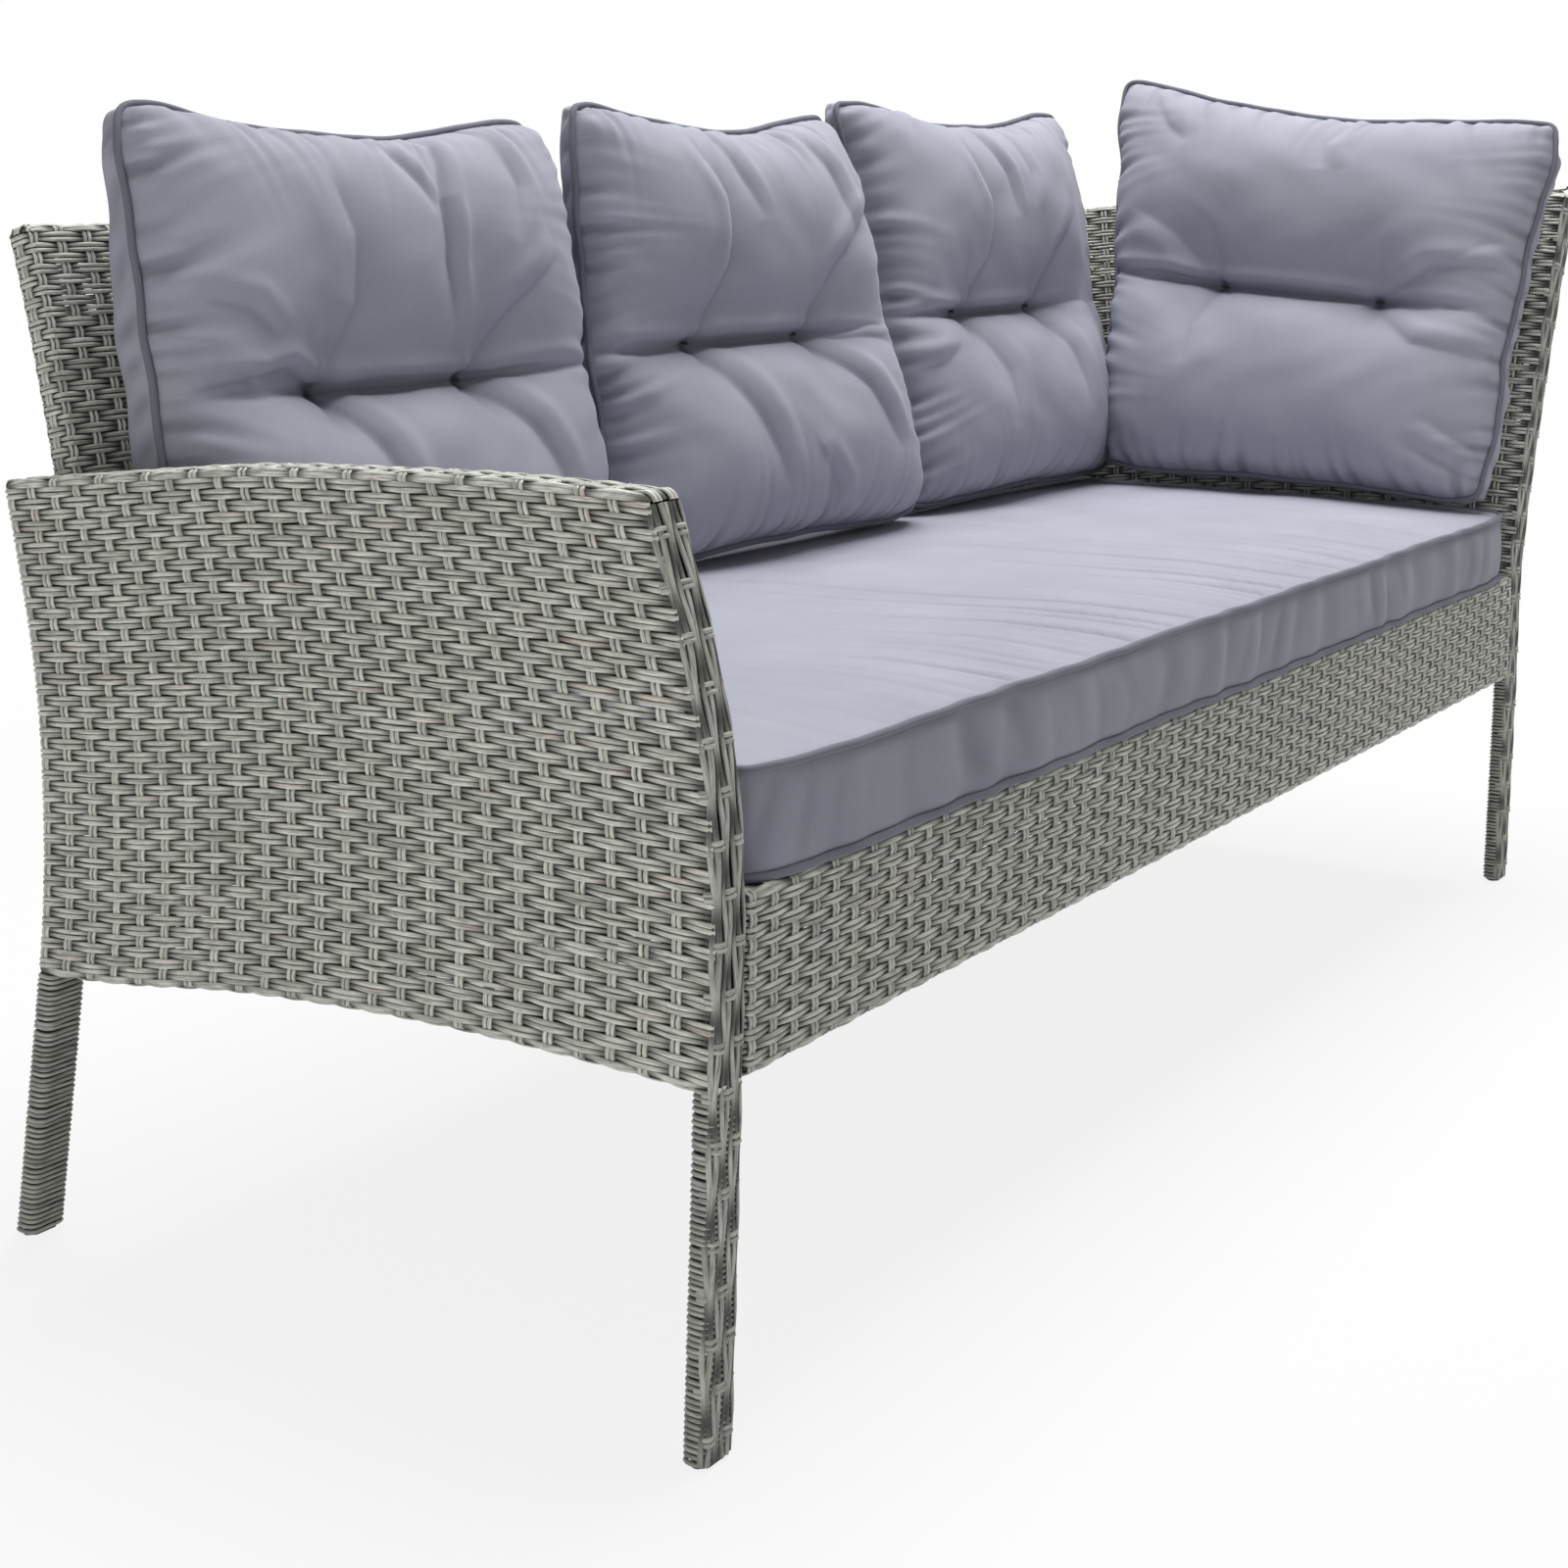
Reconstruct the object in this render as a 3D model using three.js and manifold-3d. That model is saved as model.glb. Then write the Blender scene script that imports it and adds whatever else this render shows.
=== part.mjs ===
// Rattan garden sofa: a low woven arm on the left, a tall woven end panel on the right, a long woven
// back that leans, a woven apron under the seat, one boxed seat cushion and four tufted cushions.
// Millimetres. +X runs along the seat to the tall end, +Y to the back, +Z up.
// While it is built, x = 0 is the arm's outer face, y = 0 the front of the feet and z = 0 the floor.
import * as THREE from 'three';
import { mergeVertices } from 'three/addons/utils/BufferGeometryUtils.js';
import Module from 'manifold-3d';

const wasm = await Module();
wasm.setup();

// Clearances and cuts
const fit = 0.3; // between parts that touch
const ease = 1.4; // between a bent tube and the weave wound round it
const overrun = 12; // how far a cutting tool runs past what it cuts

// Overall sizes
const seatLength = 1729; // between the arm and the end panel at seat height
const armHeight = 660;
const backHeight = 822;
const endRise = 40; // the end panel stands this much over the back
const endHeight = backHeight + endRise;
const seatFrameTop = 390;
const apronBottom = 260;
const waistDepth = 635; // from the foot line to the rear of the back at seat height
const topLean = 108; // how far the back's curve leans out at the end panel's height
const rearStep = 16; // the end frames reach this far behind the back panel
const legSplay = 37; // a rear foot stands this far behind the waist
const splayHeight = 320; // the rear legs start to splay below this
const armSetback = 55; // the arm's front edge at its top, behind the foot line
const endSweep = 25; // the end panel's front edge at its top, before the foot line
const crownDrop = 40; // an end frame's top edge falls this much to its rear corner
const bottomDrop = 40; // an end frame's lower edge falls this much to its rear leg

// Tubes and weave
const strandCover = 2.2; // thickness of the weave round a frame
const legTubeWide = 31;
const legTubeDeep = 15;
const backTubeDeep = 19;
const tubeWall = 1.5;
const edgeRound = 8; // rounding of the edges of woven panels and wound legs
const tubeCorner = edgeRound - strandCover;
const endThick = legTubeWide + 2 * (ease + strandCover);
const legDeep = legTubeDeep + 2 * (ease + strandCover);
const backThick = backTubeDeep + 2 * (ease + strandCover);
const railTall = 18;
const backPostWide = 25;
const seatRailTall = 22;
const seatTubeWide = 20;
const deckCover = 3;
const crossBarCount = 3;

// Feet
const glideHeight = 6;
const wrapLift = 2; // the winding stops this far above the floor
const plugHeight = 10;
const plugShrink = 2.5; // room between a glide's plug and the inside of its tube

// Bolts
const boltDiameter = 8;
const boltHoleDiameter = 9;
const boltHeadFlats = 13;
const boltHeadHeight = 5;
const boltFlangeDiameter = 18;
const boltFlangeHeight = 1.8;
const boltReach = 9; // how far a bolt runs into the tube that holds it
const backBoltCount = 4;
const seatBoltShares = [0.22, 0.78]; // of the depth at the seat, for the bolts of an end frame
const backPostNames = ['left', 'mid_left', 'mid_right', 'right'];

// Cushions
const cushionRest = 0.6; // between a cushion and the seat cushion that it rests on
const edgeShares = [0, 0.25, 0.5, 0.75]; // where the edges of a cushion's faces are read to seat it
const backCushionNames = ['left', 'middle', 'right'];
const backCushionMiddleShares = [0.179, 0.498, 0.838]; // of the seat's length, from the arm
const backCushionWidthShares = [0.315, 0.323, 0.327]; // of the seat's length
const backCushionHeights = [466, 482, 506];
const backCushionOffs = [10, 50, 20]; // between the back and a cushion's rear at the seat
const backCushionFlares = [0, -0.03, 0]; // share that a cushion widens by from its middle to its top
const endCushionWidthShare = 0.866; // of the depth at the seat
const endCushionHeight = 516;
const endCushionFlare = 0.045;
const endCushionTilt = 20; // its rear top corner stands this much up, its front top corner this much down
const cushionGusset = 30;
const cushionCrown = 76; // swell of the front face over its seam
const cushionBack = 14; // swell of the rear face, pressed flat by the panel
const cushionSwellPower = 0.42; // how steeply a cushion swells from its seams
const earRound = 15; // how far the corners are drawn in
const seatCushionTall = 78;
const seatCushionCrown = 12;
const seatCushionRound = 14;
const seatCushionInset = 4; // from the arm and the end panel
const seatCushionSetback = 12; // between the seat cushion's rear and the back
const tuftDepth = 50;
const tuftRadius = 70;
const creaseDepth = 16;
const creaseWidth = 34;
const tuftSpacing = 190;
const tuftHeightShare = 0.48;
const cushionDraw = 14; // how far the sides are drawn in between the corners
const cushionTopDraw = 31;
const pressWidth = 150; // how far in from its side a pressed cushion gives way
const backCushionPressShares = [0, 0, 0.5];
const endCushionMiddleShare = 0.4283; // of the depth at the seat, from the foot line
const endCushionOff = 30; // between the end cushion's rear and the end panel at the seat
const backCushionLeanShare = 0.977; // of the back's mean lean above the seat
const endCushionLeanShare = 1.262;
const endCushionRoll = 1.5 * Math.PI / 180;

// Materials
const wovenRattan = () => new THREE.MeshStandardMaterial({ color: 0x8f9189, roughness: 0.7, metalness: 0 });
const coatedSteel = () => new THREE.MeshStandardMaterial({ color: 0x3a3b3c, roughness: 0.45, metalness: 0.6 });
const zincSteel = () => new THREE.MeshStandardMaterial({ color: 0xb4b6b8, roughness: 0.3, metalness: 0.9 });
const glidePlastic = () => new THREE.MeshStandardMaterial({ color: 0x1b1b1c, roughness: 0.6, metalness: 0 });
const cushionCloth = () => new THREE.MeshStandardMaterial({ color: 0x7f808c, roughness: 0.9, metalness: 0 });

const sofa = new THREE.Group();

function place(name, geometry, material) {
  const mesh = new THREE.Mesh(geometry, material);
  mesh.name = name;
  sofa.add(mesh);
  return mesh;
}

// Solid operations
function welded(geometry) {
  const bare = geometry.clone();
  bare.deleteAttribute('normal');
  bare.deleteAttribute('uv');
  return mergeVertices(bare);
}

function solid(geometry) {
  const closed = welded(geometry);
  return new wasm.Manifold(new wasm.Mesh({
    numProp: 3,
    vertProperties: new Float32Array(closed.attributes.position.array),
    triVerts: new Uint32Array(closed.index.array),
  }));
}

function geometryOf(manifold) {
  const mesh = manifold.getMesh();
  const geometry = new THREE.BufferGeometry();
  geometry.setAttribute('position', new THREE.BufferAttribute(new Float32Array(mesh.vertProperties), 3));
  geometry.setIndex(new THREE.BufferAttribute(new Uint32Array(mesh.triVerts), 1));
  geometry.computeVertexNormals();
  return geometry;
}

function cut(geometry, ...tools) {
  let body = solid(geometry);
  for (const tool of tools) {
    body = body.subtract(solid(tool));
  }
  return geometryOf(body);
}

// A smooth edge: rows of shares turned into sizes, read at any station between them
function smoothEdge(shares, length, reach) {
  const stations = shares.map(([along]) => along * length);
  const offsets = shares.map(([, out]) => out * reach);
  const curve = new THREE.CubicInterpolant(stations, offsets, 1, new Array(1));
  return (station) => curve.evaluate(THREE.MathUtils.clamp(station, 0, length))[0];
}

// The lean that the back and the end panel share, over the end panel's height
const leanShares = [
  [0, 0], [0.3, 0], [0.45, 0.01], [0.51, 0.045], [0.573, 0.12], [0.647, 0.25],
  [0.722, 0.395], [0.774, 0.49], [0.811, 0.565], [0.866, 0.675], [0.953, 0.88], [1, 1],
];
const lean = smoothEdge(leanShares, endHeight, topLean);

// How the rear legs splay, over the height below which they do
const splayShares = [[0, 1], [0.35, 0.6], [0.68, 0.22], [0.85, 0.06], [1, 0]];
const splay = smoothEdge(splayShares, splayHeight, legSplay);

// The front edges, over each end frame's height
const armFrontShares = [[0, 0.03], [0.39, -0.06], [0.58, -0.07], [0.71, 0.04], [0.84, 0.38], [1, 1]];
const armFrontEdge = smoothEdge(armFrontShares, armHeight, armSetback);
const endFrontShares = [
  [0, -0.06], [0.29, 0.12], [0.45, 0.16], [0.55, 0.3], [0.66, 0.46], [0.8, 0.68], [0.91, 0.88], [1, 1],
];
const endFrontReach = smoothEdge(endFrontShares, endHeight, endSweep);

// The top and lower edges fall toward the rear, over the share of the depth from the front
const crownShares = [[0, 0.02], [0.2, 0], [0.37, 0.08], [0.58, 0.25], [0.73, 0.5], [0.87, 0.76], [1, 1]];
const crownFall = smoothEdge(crownShares, 1, crownDrop);
const bottomShares = [[0, 0.06], [0.14, 0], [0.39, 0.02], [0.67, 0.34], [0.86, 0.78], [1, 1]];
const bottomFall = smoothEdge(bottomShares, 1, bottomDrop);

const backRear = (z) => waistDepth + lean(z);
const frameRear = (z) => backRear(z) + rearStep + splay(z);

// How steeply an edge runs out at a height, and how much longer a level cut through it is than its thickness
const slopeAt = (edge, z) => (edge(z + fit) - edge(z - fit)) / (2 * fit);
const stretchAt = (edge, z) => Math.hypot(1, slopeAt(edge, z));

// A slab swept over a curved panel: a block of cells whose corners are rounded, then laid on the panel.
// sizes are the panel's nominal length, height and thickness, and spread() puts shares of them in space.
function panelSlab(sizes, cells, round, inset, spread) {
  const counts = [cells[0] + 2, cells[1] + 2, 3];
  const block = welded(new THREE.BoxGeometry(1, 1, 1, ...counts));
  const corners = block.attributes.position;
  const stops = sizes.map((size, axis) => {
    const inner = counts[axis] - 2;
    const list = [inset / size];
    for (let i = 0; i <= inner; i += 1) {
      list.push((round + (size - 2 * round) * i / inner) / size);
    }
    list.push(1 - inset / size);
    return list;
  });
  const pull = [0, 0, 1 - Math.SQRT1_2, 1 - 1 / Math.sqrt(3)];
  const point = new THREE.Vector3();
  for (let i = 0; i < corners.count; i += 1) {
    point.fromBufferAttribute(corners, i);
    const cell = point.toArray().map((value, axis) => Math.round((value + 0.5) * counts[axis]));
    const sides = cell.map((index, axis) => {
      if (index === 0) {
        return 1;
      }
      return index === counts[axis] ? -1 : 0;
    });
    const ends = sides.filter((side) => side !== 0).length;
    const draw = pull[ends] * (round - inset);
    const shares = cell.map((index, axis) => stops[axis][index] + sides[axis] * draw / sizes[axis]);
    corners.setXYZ(i, ...spread(...shares).toArray());
  }
  return block;
}

// A woven cover: the slab, less the same slab one cover further in
function wovenCover(sizes, cells, spread) {
  const outside = panelSlab(sizes, cells, edgeRound, 0, spread);
  const inside = panelSlab(sizes, cells, edgeRound, strandCover, spread);
  return solid(outside).subtract(solid(inside));
}

// A path that keeps one side of its section facing a given way
class GuidedPath extends THREE.CatmullRomCurve3 {
  constructor(points, side) {
    super(points);
    this.side = side;
  }

  computeFrenetFrames(segments) {
    const tangents = [];
    const normals = [];
    const binormals = [];
    for (let i = 0; i <= segments; i += 1) {
      const tangent = this.getTangentAt(i / segments).normalize();
      const normal = this.side.clone().addScaledVector(tangent, -this.side.dot(tangent)).normalize();
      tangents.push(tangent);
      normals.push(normal);
      binormals.push(new THREE.Vector3().crossVectors(tangent, normal));
    }
    return { tangents, normals, binormals };
  }
}

// Round-cornered sections, drawn with two points to a corner
function sectionPoints(wide, deep, corner) {
  const halfWide = wide / 2;
  const halfDeep = deep / 2;
  return [
    new THREE.Vector2(halfWide - corner, -halfDeep),
    new THREE.Vector2(halfWide, corner - halfDeep),
    new THREE.Vector2(halfWide, halfDeep - corner),
    new THREE.Vector2(halfWide - corner, halfDeep),
    new THREE.Vector2(corner - halfWide, halfDeep),
    new THREE.Vector2(-halfWide, halfDeep - corner),
    new THREE.Vector2(-halfWide, corner - halfDeep),
    new THREE.Vector2(corner - halfWide, -halfDeep),
  ];
}

function tubeSection(wide, deep, corner, wall) {
  const section = new THREE.Shape(sectionPoints(wide, deep, corner));
  const innerCorner = corner - wall / 2;
  section.holes.push(new THREE.Path(sectionPoints(wide - 2 * wall, deep - 2 * wall, innerCorner)));
  return section;
}

function barSection(wide, deep, corner) {
  return new THREE.Shape(sectionPoints(wide, deep, corner));
}

function sweep(section, points, side, steps) {
  const path = new GuidedPath(points, side);
  return new THREE.ExtrudeGeometry(section, { extrudePath: path, steps, bevelEnabled: false });
}

const alongX = new THREE.Vector3(1, 0, 0);
const alongY = new THREE.Vector3(0, 1, 0);

function block(lowX, highX, lowY, highY, lowZ, highZ) {
  const box = new THREE.BoxGeometry(highX - lowX, highY - lowY, highZ - lowZ);
  return box.translate((lowX + highX) / 2, (lowY + highY) / 2, (lowZ + highZ) / 2);
}

// A straight run of tube from one point to another
function straightTube(from, to, side, wide, deep) {
  return sweep(tubeSection(wide, deep, tubeCorner, tubeWall), [from, to], side, 1);
}

// Bolts and the holes that they pass through
function pointing(geometry, at, direction) {
  const turn = new THREE.Quaternion().setFromUnitVectors(alongY, direction);
  return geometry.applyQuaternion(turn).translate(...at.toArray());
}

function boltHole(at, direction, length) {
  const hole = new THREE.CylinderGeometry(boltHoleDiameter / 2, boltHoleDiameter / 2, length + 2 * overrun, 8);
  return pointing(hole.translate(0, length / 2, 0), at, direction);
}

// A flanged hexagon bolt: at is the middle of its seat, direction the way that its shank runs
function flangeBolt(at, direction, length) {
  const headRadius = boltHeadFlats / Math.sqrt(3);
  const headRise = boltFlangeHeight + boltHeadHeight;
  const head = new THREE.CylinderGeometry(headRadius, headRadius, headRise, 6).translate(0, -headRise / 2, 0);
  const profile = [
    new THREE.Vector2(0, -boltFlangeHeight),
    new THREE.Vector2(boltFlangeDiameter / 2, -boltFlangeHeight),
    new THREE.Vector2(boltFlangeDiameter / 2, 0),
    new THREE.Vector2(boltDiameter / 2, 0),
    new THREE.Vector2(boltDiameter / 2, length),
    new THREE.Vector2(0, length),
  ];
  const shank = new THREE.LatheGeometry(profile, 10);
  const body = geometryOf(solid(shank).add(solid(head)));
  return pointing(body, at, direction);
}

// End frames: the low arm and the tall end panel are built alike, and differ in these values
const armFrame = {
  name: 'arm',
  height: armHeight,
  rows: 7,
  steps: 9,
  innerSide: 1,
  baseX: 0,
  leanAt: () => 0,
  front: armFrontEdge,
};
const endFrame = {
  name: 'end',
  height: endHeight,
  rows: 10,
  steps: 14,
  innerSide: -1,
  baseX: endThick + seatLength,
  leanAt: lean,
  front: (z) => -endFrontReach(z),
};
const armInner = endThick;
const endInner = endFrame.baseX;

// Where a frame's top and lower edges lie at a share of its depth
const topEdge = (frame, share) => frame.height - crownFall(share);
const lowerEdge = (share) => apronBottom - bottomFall(share);

const middleX = (frame, z) => frame.baseX + frame.leanAt(z) + endThick / 2;

// The way across a frame's thickness at a height
const acrossAt = (frame, z) => new THREE.Vector3(1, 0, -slopeAt(frame.leanAt, z)).normalize();

function depthAt(frame, share, z) {
  return THREE.MathUtils.lerp(frame.front(z), frameRear(z), share);
}

function frameSpread(frame) {
  return (share, rise, through) => {
    const z = THREE.MathUtils.lerp(lowerEdge(share), topEdge(frame, share), rise);
    const middle = new THREE.Vector3(middleX(frame, z), depthAt(frame, share, z), z);
    return middle.addScaledVector(acrossAt(frame, z), (through - 0.5) * endThick);
  };
}

// A leg follows the front or the rear edge of its frame from below the floor to under the top edge
function legPoints(frame, atRear, lowZ, highZ, count) {
  const points = [];
  for (let i = 0; i <= count; i += 1) {
    const z = THREE.MathUtils.lerp(lowZ, highZ, i / count);
    const inward = legDeep / 2 * stretchAt(atRear ? frameRear : frame.front, z);
    const y = atRear ? frameRear(z) - inward : frame.front(z) + inward;
    points.push(new THREE.Vector3(middleX(frame, z), y, z));
  }
  return points;
}

// A rail crosses its frame between the middles of its legs, and is coped to them later
function railPoints(frame, heightAt, count) {
  const points = [];
  for (let i = 0; i <= count; i += 1) {
    const share = i / count;
    const z = heightAt(share);
    const y = THREE.MathUtils.lerp(frame.front(z) + legDeep / 2, frameRear(z) - legDeep / 2, share);
    const level = heightAt((y - frame.front(z)) / (frameRear(z) - frame.front(z)));
    points.push(new THREE.Vector3(middleX(frame, level), y, level));
  }
  return points;
}

const seatRailZ = seatFrameTop - deckCover - fit - seatRailTall / 2;
const seatRailLow = seatRailZ - seatRailTall / 2;
const seatBoltDepths = seatBoltShares.map((share) => share * waistDepth);
const sideBoltSeat = endThick + fit + deckCover + fit + seatTubeWide;
const sideBoltLength = sideBoltSeat - endThick + strandCover + ease + boltReach;

function endFrameBolts(frame) {
  const seatX = frame.innerSide > 0 ? sideBoltSeat : endInner - (sideBoltSeat - endThick);
  return seatBoltDepths.map((depth) => ({
    at: new THREE.Vector3(seatX, depth, seatRailZ),
    way: alongX.clone().multiplyScalar(-frame.innerSide),
    length: sideBoltLength,
  }));
}

const slack = 2 * overrun;
const legSection = () => tubeSection(legTubeDeep, legTubeWide, tubeCorner, tubeWall);
const legRoom = (room) => barSection(legTubeDeep + 2 * room, legTubeWide + 2 * room, tubeCorner);

// A slice of the space round a leg, from one height to another
function legSlice(at, lowZ, highZ) {
  return block(at.x - endThick, at.x + endThick, at.y - 2 * endThick, at.y + 2 * endThick, lowZ, highZ);
}

for (const frame of [armFrame, endFrame]) {
  const bolts = endFrameBolts(frame);
  const holes = bolts.map((bolt) => boltHole(bolt.at, bolt.way, bolt.length));
  const sizes = [waistDepth + rearStep, frame.height - apronBottom, endThick];
  let woven = wovenCover(sizes, [5, frame.rows], frameSpread(frame));
  const copes = [];

  for (const atRear of [false, true]) {
    const side = atRear ? 'rear' : 'front';
    const coverLow = lowerEdge(atRear ? 1 : 0);

    // The leg's tube, from its glide to under the top edge
    const tubeTop = topEdge(frame, atRear ? 1 : 0) - 2 * edgeRound;
    const route = legPoints(frame, atRear, -overrun, tubeTop, frame.steps);
    const foot = route[0];
    const legTube = sweep(legSection(), route, alongY, frame.steps);
    const tube = cut(legTube, legSlice(foot, -slack, glideHeight + fit));
    place(`${frame.name}_${side}_leg_tube`, tube, coatedSteel());
    copes.push(sweep(legRoom(fit), route, alongY, frame.steps));

    // It leaves the woven cover through the cover's lower edge
    const exit = legPoints(frame, atRear, coverLow - overrun, coverLow + slack, 3);
    woven = woven.subtract(solid(sweep(legRoom(fit), exit, alongY, 3)));

    // The winding of the leg between the floor and the cover
    const wrapRoute = legPoints(frame, atRear, -overrun, coverLow + overrun, 6);
    const wrapSection = barSection(legDeep, endThick, edgeRound);
    wrapSection.holes.push(new THREE.Path(legRoom(ease).getPoints()));
    const wrap = cut(
      sweep(wrapSection, wrapRoute, alongY, 5),
      legSlice(foot, -slack, wrapLift),
      legSlice(foot, coverLow - fit, coverLow + slack),
    );
    place(`${frame.name}_${side}_leg_wrap`, wrap, wovenRattan());

    // A plastic glide plugs the tube and stands flat on the floor
    const plugWide = legTubeWide - 2 * (tubeWall + plugShrink);
    const plugDeep = legTubeDeep - 2 * (tubeWall + plugShrink);
    const glideRoute = legPoints(frame, atRear, -overrun, slack, 2);
    const glideTool = (section, highZ) => solid(cut(
      sweep(section, glideRoute, alongY, 2),
      legSlice(foot, -slack, 0),
      legSlice(foot, highZ, 2 * slack),
    ));
    const glideBase = glideTool(legRoom(0), glideHeight);
    const glidePlug = glideTool(barSection(plugDeep, plugWide, tubeWall), glideHeight + plugHeight);
    place(`${frame.name}_${side}_glide`, geometryOf(glideBase.add(glidePlug)), glidePlastic());
  }

  for (const hole of holes) {
    woven = woven.subtract(solid(hole));
  }
  place(`${frame.name}_woven_cover`, geometryOf(woven), wovenRattan());

  // Rails from leg to leg, coped to both: under the top edge, along the lower edge and at the seat
  const inner = strandCover + ease;
  const railSection = () => tubeSection(legTubeWide, railTall, tubeCorner, tubeWall);
  const across = acrossAt(frame, frame.height - railTall);
  const topRail = railPoints(frame, (share) => topEdge(frame, share) - inner - railTall / 2, 8);
  place(`${frame.name}_top_rail`, cut(sweep(railSection(), topRail, across, 5), ...copes), coatedSteel());
  const lowRail = railPoints(frame, (share) => lowerEdge(share) + inner + railTall / 2, 8);
  place(`${frame.name}_bottom_rail`, cut(sweep(railSection(), lowRail, alongX, 5), ...copes), coatedSteel());
  const seatRail = railPoints(frame, () => seatRailZ, 1);
  const seatSection = tubeSection(legTubeWide, seatRailTall, tubeCorner, tubeWall);
  const seatTool = sweep(seatSection, seatRail, alongX, 1);
  place(`${frame.name}_seat_rail`, cut(seatTool, ...copes, ...holes), coatedSteel());

  bolts.forEach((bolt, i) => {
    const end = i === 0 ? 'front' : 'rear';
    place(`${frame.name}_${end}_bolt`, flangeBolt(bolt.at, bolt.way, bolt.length), zincSteel());
  });
}

// The seat frame between the end frames
const frameLeft = armInner + fit;
const frameRight = endInner - fit;
const backFront = waistDepth - backThick;
const apronFront = armFrontEdge(apronBottom);
const apronThick = legDeep;
const apronBack = apronFront + apronThick;
const deckRear = backFront - fit;
const deckFront = apronBack + fit;
const deckTop = seatFrameTop - fit;
const sideLeft = frameLeft + deckCover + fit;
const sideRight = frameRight - deckCover - fit;
const rearRailY = deckRear - deckCover - fit - seatTubeWide / 2;
const apronTubeDeep = apronThick - 2 * (strandCover + fit);
const frontRailY = (apronFront + apronBack) / 2;
const barFront = frontRailY + apronTubeDeep / 2 + fit;
const barRear = rearRailY - seatTubeWide / 2 - fit;
const barRoomWide = seatTubeWide + 2 * fit;

const backBolts = [];
for (let i = 0; i < backBoltCount; i += 1) {
  const x = THREE.MathUtils.lerp(frameLeft, frameRight, (i + 0.5) / backBoltCount);
  const seat = rearRailY - seatTubeWide / 2;
  const length = backFront - seat + strandCover + ease + boltReach;
  backBolts.push({ at: new THREE.Vector3(x, seat, seatRailZ), way: alongY.clone(), length });
}
const backHoles = backBolts.map((bolt) => boltHole(bolt.at, bolt.way, bolt.length));
const arms = [armFrame, endFrame];
const sideHoles = arms.map((frame) => endFrameBolts(frame).map((b) => boltHole(b.at, b.way, b.length)));

const seatTube = (from, to, side) => straightTube(from, to, side, seatTubeWide, seatRailTall);
const rearRail = seatTube(
  new THREE.Vector3(sideLeft, rearRailY, seatRailZ),
  new THREE.Vector3(sideRight, rearRailY, seatRailZ),
  alongY,
);
place('seat_rear_rail', cut(rearRail, ...backHoles), coatedSteel());

const barXs = [sideLeft + seatTubeWide / 2];
for (let i = 1; i <= crossBarCount; i += 1) {
  barXs.push(THREE.MathUtils.lerp(sideLeft, sideRight, i / (crossBarCount + 1)));
}
barXs.push(sideRight - seatTubeWide / 2);
barXs.forEach((x, i) => {
  const bar = seatTube(
    new THREE.Vector3(x, barFront, seatRailZ),
    new THREE.Vector3(x, barRear, seatRailZ),
    alongX,
  );
  if (i === 0) {
    place('seat_side_rail_left', cut(bar, ...sideHoles[0]), coatedSteel());
  } else if (i === barXs.length - 1) {
    place('seat_side_rail_right', cut(bar, ...sideHoles[1]), coatedSteel());
  } else {
    place(`seat_cross_bar_${i}`, bar, coatedSteel());
  }
});

// The woven deck lies over the bars and turns down round the outer rails
const deckLow = seatRailLow;
const deck = cut(
  block(frameLeft, frameRight, deckFront, deckRear, deckLow, deckTop),
  block(frameLeft + deckCover, frameRight - deckCover, deckFront - overrun, deckRear - deckCover,
    deckLow - overrun, deckTop - deckCover),
  ...backHoles,
  ...sideHoles.flat(),
);
place('seat_woven_deck', deck, wovenRattan());

// The apron: a woven cover over a ladder of tubes, notched where the seat bars are welded on
const apronSizes = [frameRight - frameLeft, seatFrameTop - apronBottom, apronThick];
const apronSpread = (share, rise, through) => new THREE.Vector3(
  THREE.MathUtils.lerp(frameLeft, frameRight, share),
  apronBack - through * apronThick,
  THREE.MathUtils.lerp(apronBottom, seatFrameTop, rise),
);
let apron = wovenCover(apronSizes, [1, 1], apronSpread);
for (const x of barXs) {
  const notch = block(x - barRoomWide / 2, x + barRoomWide / 2, frontRailY, apronBack + overrun,
    seatRailLow - fit, seatRailZ + seatRailTall / 2 + fit);
  apron = apron.subtract(solid(notch));
}
place('apron_woven_cover', geometryOf(apron), wovenRattan());

const apronInset = strandCover + fit;
const postLeft = frameLeft + edgeRound;
const postRight = frameRight - edgeRound;
const apronTube = (from, to, side, tall) => straightTube(from, to, side, apronTubeDeep, tall);
place('apron_front_rail', apronTube(
  new THREE.Vector3(postLeft, frontRailY, seatRailZ),
  new THREE.Vector3(postRight, frontRailY, seatRailZ),
  alongY,
  seatRailTall,
), coatedSteel());
const apronRailZ = apronBottom + apronInset + railTall / 2;
place('apron_bottom_rail', apronTube(
  new THREE.Vector3(postLeft, frontRailY, apronRailZ),
  new THREE.Vector3(postRight, frontRailY, apronRailZ),
  alongY,
  railTall,
), coatedSteel());
const postLow = apronRailZ + railTall / 2 + fit;
const postHigh = seatRailLow - fit;
const postNames = ['left_end', 'left', 'right', 'right_end'];
postNames.forEach((name, i) => {
  const share = i / (postNames.length - 1);
  const x = THREE.MathUtils.lerp(postLeft + seatTubeWide / 2, postRight - seatTubeWide / 2, share);
  const post = apronTube(
    new THREE.Vector3(x, frontRailY, postLow),
    new THREE.Vector3(x, frontRailY, postHigh),
    alongY,
    seatTubeWide,
  );
  place(`apron_${name}_post`, post, coatedSteel());
});

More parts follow.
